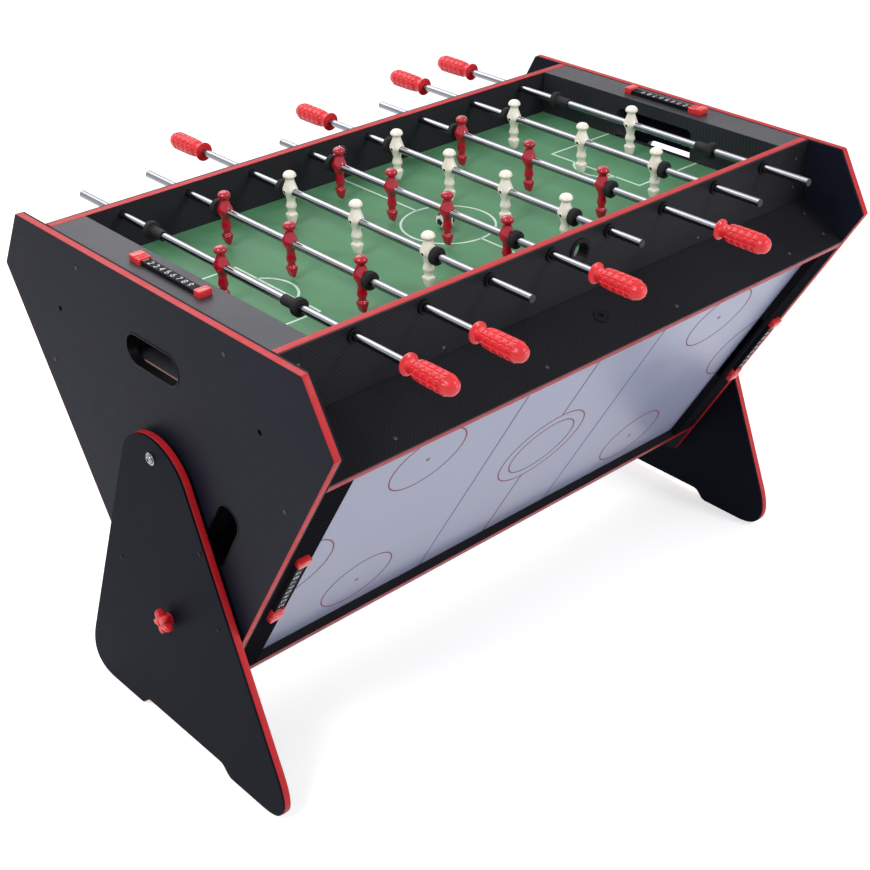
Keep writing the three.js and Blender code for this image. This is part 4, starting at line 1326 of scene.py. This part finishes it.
def add_inlet():
    _, _, reach, top = board_reach("hockey_upper_board")
    x, drop = INLET
    place = face_frame(HOCKEY) @ at((x, reach, top - drop)) @ ALONG_Y
    with piece("blower_inlet_ring", CABINET, "blower_black", "motor") as bm:
        turned(bm, [(INLET_HOLE, -0.0005), (INLET_HOLE, INLET_STAND - 0.0005),
                    (INLET_HOLE + 0.0005, INLET_STAND), (INLET_RADIUS * 0.62, INLET_STAND),
                    (INLET_RADIUS * 0.66, INLET_STAND - 0.0003),
                    (INLET_RADIUS * 0.70, INLET_STAND), (INLET_RADIUS - 0.0008, INLET_STAND),
                    (INLET_RADIUS, INLET_STAND - 0.0008), (INLET_RADIUS, -0.0005)], place, CUP_STEPS,
               closed=True)


POST_RADIUS, POST_HEIGHT, CAP_RADIUS = 0.014, 0.026, 0.009
POCKET_RADIUS = 0.024
POSTS_NEAR, POSTS_FAR, POSTS_POCKET = 0.062, 0.124, 0.062
POCKET_X = 0.486
CUP_FLOOR = 0.0528
POOL_WELL = 0.038


def add_pool_fittings():
    turn = face_frame(POOL) @ at((0, 0, board_top("pool_lower_board")[2] - POOL_WELL))
    spots = [(x, y) for reach in (POSTS_NEAR, POSTS_FAR)
             for x, y in ((reach, 0), (-reach, 0), (0, reach), (0, -reach))]
    spots += [(x * POCKET_X, y * POSTS_POCKET) for x in (-1, 1) for y in (-1, 1)]
    places = [turn @ at((*centre, 0)) for centre in spots]
    skin, tall = POST_RADIUS + 0.0004, POST_HEIGHT + 0.0004
    with piece("pool_post_rings", CABINET, "red_plastic", "ring") as bm:
        for place in places:
            turned(bm, [(skin - 0.003, 0.0001), (skin - 0.001, 0.0001), (skin - 0.001, 0.011), (skin, 0.0125),
                        (skin + 0.0006, 0.017), (skin + 0.0006, 0.021), (skin, tall - 0.0015),
                        (skin - 0.0015, tall), (CAP_RADIUS - 0.001, tall)], place, ROD_STEPS)
    with piece("pool_post_caps", CABINET, "white_men", "cap") as bm:
        for place in places:
            turned(bm, [(CAP_RADIUS, tall - 0.001), (CAP_RADIUS + 0.0004, tall),
                        (CAP_RADIUS + 0.0003, tall + 0.0032), (CAP_RADIUS * 0.8, tall + 0.0042),
                        (CAP_RADIUS * 0.3, tall + 0.0046),
                        (NIB, tall + 0.0046)], place, ROD_STEPS)
    hole, outer, plate = POCKET_RADIUS - 0.0012, POCKET_RADIUS - 0.0001, 0.0006 - CUP_FLOOR
    with piece("pool_pocket_rims", CABINET, "blower_black", "nylon") as bm:
        for side in (-1, 1):
            place = turn @ at((side * POCKET_X, 0, 0))
            turned(bm, [(hole, -CUP_FLOOR), (hole, 0.0004), (hole + 0.001, 0.0012), (hole + 0.004, 0.0012),
                        (hole + 0.005, 0.0001), (outer, -0.0001), (outer, -CUP_FLOOR)], place, CUP_STEPS,
                   closed=True)
            turned(bm, [(NIB, -CUP_FLOOR), (hole, -CUP_FLOOR), (hole, plate), (NIB, plate)], place, CUP_STEPS)


def paint_frame():
    for end in ENDS:
        paint("panel", f"{end}_end_panel")
        paint("leg", f"{end}_leg")
        paint("chrome", f"{end}_pivot_bolt")
        paint("grip", f"{end}_lock_knob")
        for name in FACE_NAMES:
            paint(f"rail_{name}", f"{name}_{end}_end_rail")
        paint("score_red", *(f"{name}_{end}_score_slider" for name in FACE_NAMES[:2]))
    for node, face in BOARDS.items():
        paint(f"board_{node.replace('_board', '') if face == FOOTBALL else FACE_NAMES[face]}", node)
    for look, node in (("pitch", "football_pitch"), ("ice", "hockey_surface"), ("cloth", "pool_bed"),
                       ("motor", "hockey_blower")):
        paint(look, node)


add_stage()
paint_frame()
add_outline_trims()
add_board_trims()
add_window_liners()
add_pitch_lines()
add_ice_lines()
add_rods()
add_board_fittings()
add_score_bars()
add_all_screws()
add_pivots()
add_knobs()
add_ball()
add_inlet()
add_pool_fittings()
